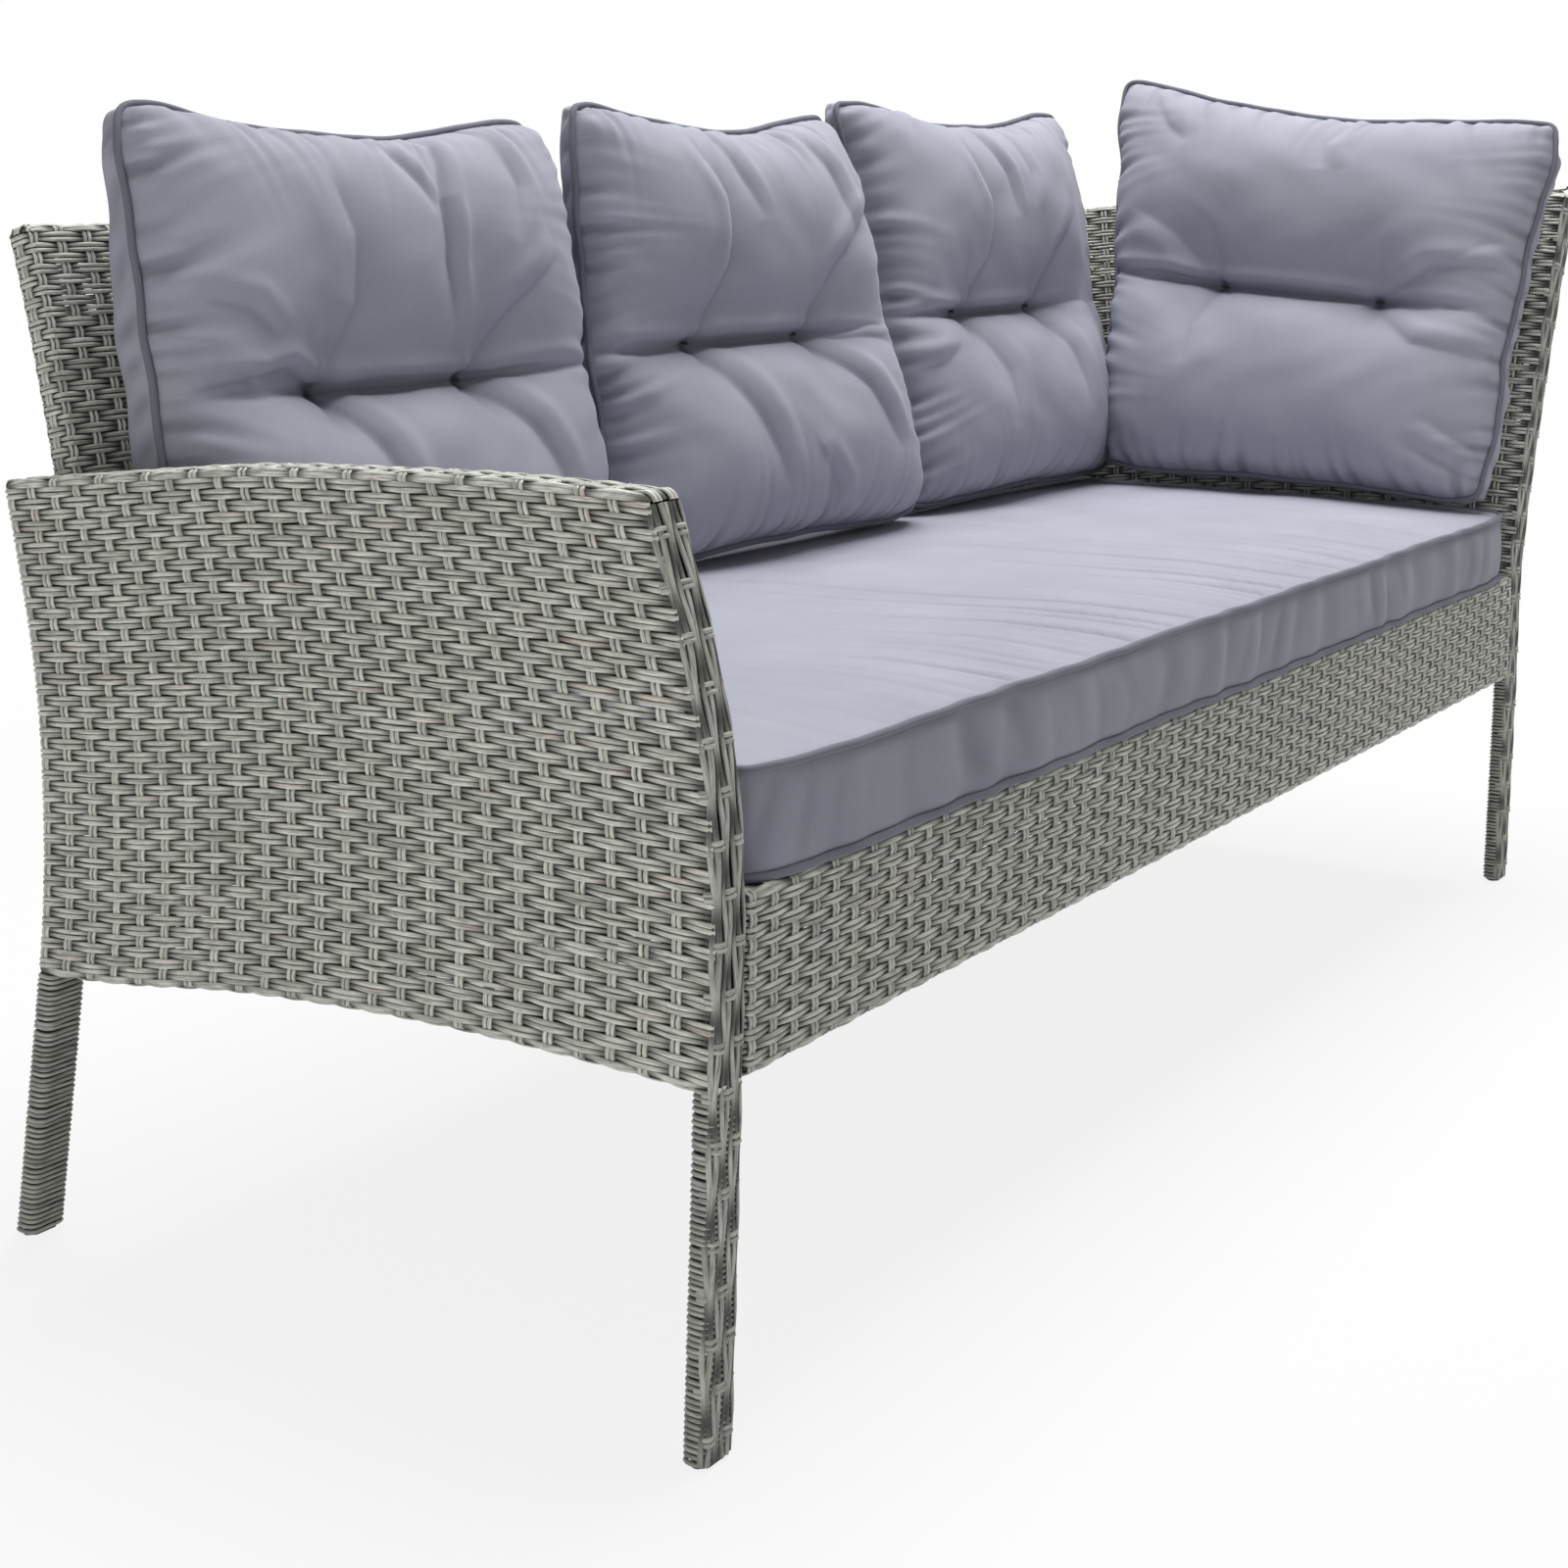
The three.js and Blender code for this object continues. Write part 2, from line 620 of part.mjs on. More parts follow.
// The back panel follows the shared lean, and its right end follows the end panel
const backMiddle = (z) => backRear(z) - backThick / 2;
const backAcross = (z) => new THREE.Vector3(0, 1, -slopeAt(lean, z)).normalize();
const rightEnd = (z) => endInner + lean(z) + (1 - stretchAt(lean, z)) * endThick / 2 - ease;
const backSizes = [frameRight - frameLeft, backHeight - apronBottom, backThick];
const backSpread = (share, rise, through) => {
  const z = THREE.MathUtils.lerp(apronBottom, backHeight, rise);
  const middle = new THREE.Vector3(0, backMiddle(z), z);
  middle.addScaledVector(backAcross(z), (0.5 - through) * backThick);
  return middle.setX(THREE.MathUtils.lerp(frameLeft, rightEnd(middle.z), share));
};
let back = wovenCover(backSizes, [1, 9], backSpread);
for (const hole of backHoles) {
  back = back.subtract(solid(hole));
}
place('back_woven_cover', geometryOf(back), wovenRattan());

const backInset = strandCover + ease;
const backRailTop = backHeight - backInset - edgeRound / 2 - railTall / 2;
const backRailLow = apronBottom + backInset + railTall / 2;
const backRailEnd = (z) => rightEnd(z) - edgeRound - railTall * slopeAt(lean, z) / 2;
const backRail = (z, section, past) => sweep(section, [
  new THREE.Vector3(frameLeft + edgeRound - past, backMiddle(z), z),
  new THREE.Vector3(backRailEnd(z) + past, backMiddle(z), z),
], backAcross(z), 1);
const backRailCopes = [];
for (const [name, z] of [['top', backRailTop], ['bottom', backRailLow]]) {
  const rail = backRail(z, tubeSection(backTubeDeep, railTall, tubeCorner, tubeWall), 0);
  place(`back_${name}_rail`, rail, coatedSteel());
  const room = barSection(backTubeDeep + 2 * fit, railTall + 2 * fit, tubeCorner);
  backRailCopes.push(backRail(z, room, overrun));
}

// Four posts between the rails, coped to them; the right one leans with the end panel
const firstPost = frameLeft + edgeRound + backPostWide / 2;
const lastPost = (z) => rightEnd(z) - edgeRound - backPostWide / 2 * stretchAt(lean, z);
const postX = (i, z) => {
  const leaned = i === backPostNames.length - 1 ? lastPost(z) : lastPost(apronBottom);
  return THREE.MathUtils.lerp(firstPost, leaned, i / (backPostNames.length - 1));
};
backPostNames.forEach((name, i) => {
  const points = [];
  const count = 6;
  for (let k = 0; k <= count; k += 1) {
    const z = THREE.MathUtils.lerp(backRailLow, backRailTop, k / count);
    points.push(new THREE.Vector3(postX(i, z), backMiddle(z), z));
  }
  const section = tubeSection(backPostWide, backTubeDeep, tubeCorner, tubeWall);
  place(`back_${name}_post`, cut(sweep(section, points, alongX, count), ...backRailCopes), coatedSteel());
});

// A rail at seat height in each bay between the posts takes the bolts from the seat frame
const bayNames = ['left', 'middle', 'right'];
bayNames.forEach((bay, i) => {
  const from = postX(i, seatRailZ) + backPostWide / 2 + fit;
  const to = postX(i + 1, seatRailLow) - backPostWide / 2 - fit;
  const rail = straightTube(
    new THREE.Vector3(from, backMiddle(seatRailZ), seatRailZ),
    new THREE.Vector3(to, backMiddle(seatRailZ), seatRailZ),
    alongY,
    backTubeDeep,
    seatRailTall,
  );
  place(`back_seat_rail_${bay}`, cut(rail, ...backHoles), coatedSteel());
});
backBolts.forEach((bolt, i) => {
  place(`back_bolt_${i + 1}`, flangeBolt(bolt.at, bolt.way, bolt.length), zincSteel());
});

// Cushions
const bump = (distance, width) => Math.exp(-((distance / width) ** 2));

// A tufted cushion standing on its lower edge: +Y is its rear, its front swells toward -Y.
// Its sides and its top are drawn in between rounded ears. Where a neighbour presses on its right side
// the swell gives way.
function tuftedCushion(width, height, flare = 0, tilt = 0, pressShare = 0) {
  const cells = [16, 2, 12];
  const shape = welded(new THREE.BoxGeometry(2, 2, 2, ...cells));
  const corners = shape.attributes.position;
  const pressFrom = width / 2 - pressWidth;
  const pressTo = width / 2 - pressWidth / 3;
  for (let i = 0; i < corners.count; i += 1) {
    const u = Math.sin(corners.getX(i) * Math.PI / 2);
    const v = Math.sin(corners.getZ(i) * Math.PI / 2);
    const through = corners.getY(i);
    const topDraw = v > 0 ? cushionTopDraw : cushionTopDraw / 3;
    const halfWidth = width / 2 - cushionDraw * (1 - v * v) - earRound * v ** 8;
    const halfHeight = height / 2 - topDraw * (1 - u * u) - earRound * u ** 8;
    const x = u * halfWidth * (1 + flare * v);
    const z = height / 2 + v * halfHeight - tilt * u * (1 + v) / 2;
    const swell = ((1 - u ** 4) * (1 - v ** 4)) ** cushionSwellPower;
    let y = through * cushionGusset / 2;
    if (through < 0) {
      const heightFromTuft = z - tuftHeightShare * height;
      const sideways = Math.min(Math.abs(x - tuftSpacing / 2), Math.abs(x + tuftSpacing / 2));
      const dimple = tuftDepth * bump(Math.hypot(sideways, heightFromTuft), tuftRadius);
      const crease = creaseDepth * bump(heightFromTuft, creaseWidth) * (1 - bump(sideways, tuftRadius));
      const pressed = THREE.MathUtils.smoothstep(x, pressFrom, pressTo) * pressShare;
      y -= (cushionCrown * swell - (dimple + crease) * Math.min(1, swell)) * (1 - pressed);
    } else if (through > 0) {
      y += cushionBack * swell;
    } else {
      const edge = Math.max(Math.abs(u), Math.abs(v));
      y -= edge * (cushionGusset / 8);
    }
    corners.setXYZ(i, x, y, z);
  }
  return shape;
}

// The boxed seat cushion, whose top swells from its seams to its middle
const seatCushionLeft = frameLeft + seatCushionInset;
const seatCushionSpan = frameRight - seatCushionInset - seatCushionLeft;
const seatCushionFront = apronFront + fit;
const seatCushionDepth = backFront - seatCushionSetback - seatCushionFront;
const seatCushionFloor = seatFrameTop + fit;
function seatSwell(along, deep) {
  return seatCushionCrown * (1 - (2 * along - 1) ** 6) * (1 - (2 * deep - 1) ** 4);
}

function boxedCushion() {
  const cells = [14, 6];
  const sizes = [seatCushionSpan, seatCushionDepth, seatCushionTall];
  return panelSlab(sizes, cells, seatCushionRound, 0, (along, deep, up) => new THREE.Vector3(
    seatCushionLeft + along * seatCushionSpan,
    seatCushionFront + deep * seatCushionDepth,
    seatCushionFloor + up * seatCushionTall + Math.round(up) * seatSwell(along, deep),
  ));
}
const seatCushion = place('seat_cushion', boxedCushion(), cushionCloth());

// The least height between one mesh and what lies over or under it on another, read at points spread
// along the edges of its faces
function leastDrop(mesh, other, way) {
  const faces = mesh.geometry.index;
  const from = new THREE.Vector3();
  const to = new THREE.Vector3();
  let least = Infinity;
  for (let i = 0; i < faces.count; i += 1) {
    const next = i % 3 === 2 ? i - 2 : i + 1;
    from.fromBufferAttribute(mesh.geometry.attributes.position, faces.getX(i)).applyMatrix4(mesh.matrixWorld);
    to.fromBufferAttribute(mesh.geometry.attributes.position, faces.getX(next)).applyMatrix4(mesh.matrixWorld);
    for (const share of edgeShares) {
      const start = new THREE.Vector3().lerpVectors(from, to, share);
      const height = start.z;
      start.z -= way.z * endHeight;
      for (const hit of new THREE.Raycaster(start, way).intersectObject(other)) {
        least = Math.min(least, (hit.point.z - height) * way.z);
      }
    }
  }
  return least;
}

// Sets a cushion down until it rests on the seat cushion
function restOnSeat(cushion) {
  cushion.position.z += endHeight;
  cushion.updateMatrixWorld(true);
  const down = leastDrop(cushion, seatCushion, new THREE.Vector3(0, 0, -1));
  const up = leastDrop(seatCushion, cushion, new THREE.Vector3(0, 0, 1));
  cushion.position.z -= Math.min(down, up) - cushionRest;
}

const meanLean = Math.atan2(lean(backHeight) - lean(seatFrameTop), backHeight - seatFrameTop);
backCushionNames.forEach((name, i) => {
  const shape = tuftedCushion(
    backCushionWidthShares[i] * seatLength,
    backCushionHeights[i],
    backCushionFlares[i],
    0,
    backCushionPressShares[i],
  );
  const cushion = place(`back_cushion_${name}`, shape, cushionCloth());
  cushion.rotation.x = -backCushionLeanShare * meanLean;
  cushion.position.set(
    armInner + backCushionMiddleShares[i] * seatLength,
    backFront - cushionBack - cushionGusset / 2 - backCushionOffs[i],
    seatFrameTop,
  );
  restOnSeat(cushion);
});

const endCushionWidth = endCushionWidthShare * waistDepth;
const endCushionShape = tuftedCushion(endCushionWidth, endCushionHeight, endCushionFlare, endCushionTilt);
const endCushion = place('end_cushion', endCushionShape, cushionCloth());
endCushion.rotation.order = 'ZXY';
endCushion.rotation.z = -Math.PI / 2;
endCushion.rotation.x = -endCushionLeanShare * meanLean;
endCushion.rotation.y = endCushionRoll;
endCushion.position.set(
  endInner - cushionBack - cushionGusset / 2 - endCushionOff,
  endCushionMiddleShare * waistDepth,
  seatFrameTop,
);
restOnSeat(endCushion);

// The frame's origin is under the middle of the sofa, on the floor
sofa.updateMatrixWorld(true);
const bounds = new THREE.Box3().setFromObject(sofa, true);
sofa.position.set(-(bounds.min.x + bounds.max.x) / 2, -(bounds.min.y + bounds.max.y) / 2, -bounds.min.z);

export default sofa;
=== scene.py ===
"""Looks of the rattan garden sofa: woven strands, wound legs and cushions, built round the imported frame.

The shapes are worked out in millimetres in the frame that the solids are built in: x = 0 is the arm's outer
face, y = 0 the front of the feet, z = 0 the floor. to_scene() turns them into the row frame in metres.
"""

import math

import bmesh
import bpy
import numpy as np
from mathutils import Matrix, Vector


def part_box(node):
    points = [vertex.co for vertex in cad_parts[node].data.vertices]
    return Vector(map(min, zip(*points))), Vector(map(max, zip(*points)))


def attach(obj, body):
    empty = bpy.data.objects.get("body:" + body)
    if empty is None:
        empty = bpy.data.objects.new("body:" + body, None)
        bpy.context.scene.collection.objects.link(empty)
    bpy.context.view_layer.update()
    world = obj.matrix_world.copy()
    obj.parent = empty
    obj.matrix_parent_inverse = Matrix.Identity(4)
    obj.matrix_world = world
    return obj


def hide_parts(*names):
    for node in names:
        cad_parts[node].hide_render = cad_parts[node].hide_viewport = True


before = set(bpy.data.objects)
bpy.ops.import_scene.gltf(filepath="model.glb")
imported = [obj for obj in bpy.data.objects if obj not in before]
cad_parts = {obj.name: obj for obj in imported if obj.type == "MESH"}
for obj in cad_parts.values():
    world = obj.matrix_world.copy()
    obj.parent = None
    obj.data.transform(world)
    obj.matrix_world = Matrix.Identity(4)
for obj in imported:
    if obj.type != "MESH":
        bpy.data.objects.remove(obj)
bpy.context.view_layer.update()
random = np.random.default_rng(7)

# Sizes of the frame in millimetres, the same as the solids'
SEAT_LENGTH = 1729.0
ARM_HEIGHT = 660.0
BACK_HEIGHT = 822.0
END_HEIGHT = 862.0
SEAT_FRAME_TOP = 390.0
APRON_BOTTOM = 260.0
WAIST_DEPTH = 635.0
TOP_LEAN = 108.0
REAR_STEP = 16.0
LEG_SPLAY = 37.0
SPLAY_HEIGHT = 320.0
ARM_SETBACK = 55.0
END_SWEEP = 25.0
CROWN_DROP = 40.0
BOTTOM_DROP = 40.0
END_THICK = 38.2
LEG_DEEP = 22.2
BACK_THICK = 26.2
EDGE_ROUND = 8.0
FIT = 0.3
BACK_CLEARANCE = 1.4

QUARTER = math.pi / 2
TINY = 1e-9


def smooth_edge(shares, length, reach):
    """The cubic curve through rows of shares, read at any station along length."""
    stations = np.array([row[0] for row in shares]) * length
    values = np.array([row[1] for row in shares]) * reach

    def read(station):
        t = np.clip(np.asarray(station, float), 0, length)
        i = np.clip(np.searchsorted(stations, t, side="right") - 1, 0, len(stations) - 2)
        t0, t1 = stations[i], stations[i + 1]
        first, last = i == 0, i == len(stations) - 2
        before = np.where(first, 1, i - 1)
        after = np.where(last, i, np.minimum(i + 2, len(stations) - 1))
        t_before = np.where(first, t1, stations[before])
        t_after = np.where(last, t0, stations[after])
        half = (t1 - t0) * 0.5
        wp, wn = half / (t0 - t_before), half / (t_after - t1)
        p = (t - t0) / (t1 - t0)
        pp, ppp = p * p, p * p * p
        sp = -wp * ppp + 2 * wp * pp - wp * p
        s0 = (1 + wp) * ppp + (-1.5 - 2 * wp) * pp + (-0.5 + wp) * p + 1
        s1 = (-1 - wn) * ppp + (1.5 + wn) * pp + 0.5 * p
        sn = wn * ppp - wn * pp
        return sp * values[before] + s0 * values[i] + s1 * values[i + 1] + sn * values[after]

    return read


lean = smooth_edge(
    [(0, 0), (0.3, 0), (0.45, 0.01), (0.51, 0.045), (0.573, 0.12), (0.647, 0.25), (0.722, 0.395),
     (0.774, 0.49), (0.811, 0.565), (0.866, 0.675), (0.953, 0.88), (1, 1)], END_HEIGHT, TOP_LEAN)
splay = smooth_edge([(0, 1), (0.35, 0.6), (0.68, 0.22), (0.85, 0.06), (1, 0)], SPLAY_HEIGHT, LEG_SPLAY)
arm_front = smooth_edge([(0, 0.03), (0.39, -0.06), (0.58, -0.07), (0.71, 0.04), (0.84, 0.38), (1, 1)],
                        ARM_HEIGHT, ARM_SETBACK)
end_reach = smooth_edge([(0, -0.06), (0.29, 0.12), (0.45, 0.16), (0.55, 0.3), (0.66, 0.46), (0.8, 0.68),
                         (0.91, 0.88), (1, 1)], END_HEIGHT, END_SWEEP)
crown_fall = smooth_edge([(0, 0.02), (0.2, 0), (0.37, 0.08), (0.58, 0.25), (0.73, 0.5), (0.87, 0.76), (1, 1)],
                         1, CROWN_DROP)
bottom_fall = smooth_edge([(0, 0.06), (0.14, 0), (0.39, 0.02), (0.67, 0.34), (0.86, 0.78), (1, 1)],
                          1, BOTTOM_DROP)

SHIFT = np.array([
    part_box("arm_woven_cover")[0].x * 1000,
    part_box("apron_woven_cover")[0].y * 1000 - float(arm_front(APRON_BOTTOM)),
    0.0,
])


def to_scene(points):
    return (np.asarray(points, float) + SHIFT) / 1000


def slope(edge, z):
    return (edge(z + FIT) - edge(z - FIT)) / (2 * FIT)


def back_rear(z):
    return WAIST_DEPTH + lean(z)


def frame_rear(z):
    return back_rear(z) + REAR_STEP + splay(z)


def unit(vectors):
    return vectors / np.maximum(np.linalg.norm(vectors, axis=-1, keepdims=True), TINY)


def mix(a, b, share):
    return a + (b - a) * share


def scaled(vectors, lengths):
    return vectors * np.asarray(lengths)[..., None]


# Panels: each puts a place along its length, a place up its height and a place through its thickness in space
class EndPanel:
    """The arm or the end panel. Its length runs from its front edge to its rear edge."""

    def __init__(self, base_x, height, leans, front):
        self.base_x, self.height, self.leans, self.front = base_x, height, leans, front
        self.thick = END_THICK
        self.length = WAIST_DEPTH + REAR_STEP
        self.rise = height - APRON_BOTTOM

    def lean(self, z):
        return lean(z) if self.leans else np.zeros_like(z)

    def middle_x(self, z):
        return self.base_x + self.lean(z) + END_THICK / 2

    def across(self, z):
        tilt = slope(lean, z) if self.leans else np.zeros_like(z)
        return unit(np.stack([np.ones_like(z), np.zeros_like(z), -tilt], -1))

    def point(self, along, rise, through):
        share = along / self.length
        z = mix(APRON_BOTTOM - bottom_fall(share), self.height - crown_fall(share), rise / self.rise)
        y = mix(self.front(z), frame_rear(z), share)
        return np.stack([self.middle_x(z), y, z], -1) + scaled(self.across(z), through)


class BackPanel:
    """The back. Its length runs from the arm to the end panel, and follows the end panel's lean there."""

    def __init__(self):
        self.thick = BACK_THICK
        self.left = END_THICK + FIT
        self.length = SEAT_LENGTH - 2 * FIT
        self.rise = BACK_HEIGHT - APRON_BOTTOM

    def right(self, z):
        stretch = np.hypot(1, slope(lean, z))
        return END_THICK + SEAT_LENGTH + lean(z) + (1 - stretch) * END_THICK / 2 - BACK_CLEARANCE

    def point(self, along, rise, through):
        z = APRON_BOTTOM + rise
        normal = unit(np.stack([np.zeros_like(z), np.ones_like(z), -slope(lean, z)], -1))
        middle = np.stack([np.zeros_like(z), back_rear(z) - BACK_THICK / 2, z], -1) + scaled(normal, through)
        middle[..., 0] = mix(self.left, self.right(middle[..., 2]), along / self.length)
        return middle


class ApronPanel:
    """The apron under the seat's front edge."""

    def __init__(self):
        self.thick = LEG_DEEP
        self.left = END_THICK + FIT
        self.length = SEAT_LENGTH - 2 * FIT
        self.rise = SEAT_FRAME_TOP - APRON_BOTTOM
        self.front = float(arm_front(APRON_BOTTOM))

    def point(self, along, rise, through):
        return np.stack([self.left + along, self.front + LEG_DEEP / 2 + through, APRON_BOTTOM + rise], -1)


def round_end(s, thick, radius):
    """Round the end of a slab, where s runs over it from the end of the first face.

    Returns how far the outward normal points out of the end and through the slab, and the depth from the first face.
    """
    arc, flat = math.pi * radius / 2, thick - 2 * radius
    first = np.clip(s / radius, 0, QUARTER)
    second = np.clip((s - arc - flat) / radius, 0, QUARTER)
    ahead = s < arc + flat
    out = np.where(ahead, np.sin(first), np.cos(second))
    through = np.where(ahead, -np.cos(first), np.sin(second))
    depth = radius * (1 - np.cos(first)) + np.clip(s - arc, 0, flat) + radius * np.sin(second)
    return out, through, depth


def profile(place, length, thick, radius, faces, ends):
    """Round the rounded rectangle of length by thick: place counts strands from the near end of its first face.

    Returns the place along the length, the place through the thickness, and the outward normal in those two.
    """
    place = np.asarray(place, float)
    half, straight = thick / 2, length - 2 * radius
    round_the_end = math.pi * radius + thick - 2 * radius
    place = np.where(place < -TINY, place + 2 * (faces + ends), place)
    one = np.ones_like(place)
    out, through, depth = round_end((place - faces) / ends * round_the_end, thick, radius)
    out2, through2, depth2 = round_end((place - 2 * faces - ends) / ends * round_the_end, thick, radius)
    stretches = [place <= faces, place <= faces + ends, place <= 2 * faces + ends]
    return (
        np.select(stretches, [radius + straight * place / faces, length - radius + radius * out,
                              length - radius - straight * (place - faces - ends) / faces], radius - radius * out2),
        np.select(stretches, [-half * one, -half + depth, half * one], half - depth2),
        np.select(stretches, [0 * one, out, 0 * one], -out2),
        np.select(stretches, [-one, through, one], -through2),
    )


# Strands. A section is a row of corners: shares of the strand's width and of its thickness.
STRAND_THICK = 2.0
WEFT_RISE = 1.25  # how far a weft strand swings over and under the middle of the weave
WARP_RISE = 0.95
SINK = 2.3  # the middle of the weave lies this far inside the panel's face
PAIR_SHARE = 0.25  # half the distance between the strands of a pair, as a share of a course
PAIR_CLOSE, PAIR_SPREAD = 0.01, 0.016  # a face's pairs lie closer by the first, and spread by the second on top
WEFT_WIDE, EDGE_WEFT_WIDE = 0.46, 0.475  # shares of a course
WEFT_SWELL, WARP_SWELL = 0.045, 0.05  # how much wider a strand is where it lies on top
WARP_WIDE = 3.9
WARP_APART = 2.25
END_WARP_APART = 2.2
CORNER = np.array([(-0.5, -0.5), (-0.3, 0.42), (0.3, 0.42), (0.5, -0.5)])
DOME = np.array([(-0.5, -0.5), (-0.33, 0.05), (0, 0.5), (0.33, 0.05), (0.5, -0.5)])
ROUND = np.array([(-0.5, -0.5), (-0.4, 0.15), (0, 0.5), (0.4, 0.15), (0.5, -0.5)])


def linked(name, data):
    piece = bpy.data.objects.new(name, data)
    bpy.context.scene.collection.objects.link(piece)
    return piece


class Strands:
    """Collects strands: half-round strips that follow paths, with the place along and the strand kept."""

    def __init__(self):
        self.points, self.faces, self.places, self.heights = [], [], [], []
        self.count = 0

    def add(self, path, normal, wide, wave, thick=STRAND_THICK, section=CORNER, closed=False):
        """path and normal are strands x steps x 3 in millimetres, wide and wave are strands x steps.

        wave tells, from -1 to 1, how far a strand lies under or over the ones that it crosses.
        """
        strands, steps = path.shape[:2]
        if closed:
            tangent = unit(np.roll(path, -1, axis=1) - np.roll(path, 1, axis=1))
        else:
            tangent = unit(np.gradient(path, axis=1))
        side = unit(np.cross(tangent, normal))
        up = np.cross(side, tangent)
        wide = np.broadcast_to(wide, path.shape[:2])
        wave = np.broadcast_to(wave, path.shape[:2])
        across = section[:, 0][None, None, :, None] * wide[..., None, None]
        rise = section[:, 1][None, None, :, None] * thick
        points = path[:, :, None] + side[:, :, None] * across + up[:, :, None] * rise
        corners = len(section)
        index = np.arange(strands * steps * corners).reshape(strands, steps, corners) + self.count
        if closed:
            index = np.concatenate([index, index[:, :1]], axis=1)
        quads = np.stack([index[:, :-1, :-1], index[:, :-1, 1:], index[:, 1:, 1:], index[:, 1:, :-1]], -1)
        self.points.append(points.reshape(-1, 3))
        self.faces.append(quads.reshape(-1, 4))
        length = np.concatenate([np.zeros((strands, 1)), np.cumsum(
            np.linalg.norm(np.diff(path, axis=1), axis=-1), axis=1)], axis=1)
        seed = random.random((strands, 1)) * 40
        place = np.stack(np.broadcast_arrays(
            length[..., None] / 1000 + seed[..., None],
            section[:, 0][None, None] * 0.0043 + seed[..., None] * 0.7,
            seed[..., None] / 40), -1)
        self.places.append(place.reshape(-1, 3))
        # For the painted shade of rattan(): how far up its section each point lies, and how far the strand lies on top
        height = np.stack(np.broadcast_arrays(section[:, 1][None, None] + 0.5, (wave[..., None] + 1) / 2, 0.0), -1)
        self.heights.append(height.reshape(-1, 3))
        self.count += strands * steps * corners

    def finish(self, name, node, look):
        """Makes the piece that stands for a woven node."""
        points, faces = to_scene(np.concatenate(self.points)), np.concatenate(self.faces)
        mesh = bpy.data.meshes.new(name)
        mesh.vertices.add(len(points))
        mesh.vertices.foreach_set("co", points.astype(np.float32).ravel())
        mesh.loops.add(faces.size)
        mesh.loops.foreach_set("vertex_index", faces.astype(np.int32).ravel())
        mesh.polygons.add(len(faces))
        mesh.polygons.foreach_set("loop_start", np.arange(0, faces.size, 4, dtype=np.int32))
        mesh.update(calc_edges=True)
        mesh.validate()
        mesh.polygons.foreach_set("use_smooth", np.ones(len(faces), bool))
        for label, rows in (("strand_place", self.places), ("strand_height", self.heights)):
            attribute = mesh.attributes.new(label, "FLOAT_VECTOR", "POINT")
            attribute.data.foreach_set("vector", np.concatenate(rows).astype(np.float32).ravel())
        mesh.materials.append(look)
        piece = linked(name, mesh)
        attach(piece, "root")
        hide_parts(node)


def paired(numbers):
    """Two strands for each number: a column of the numbers, and a column of the strands' sides, -1 and 1."""
    rows = np.array([(number, side) for number in numbers for side in (-1, 1)], float)
    return rows[:, :1], rows[:, 1:]


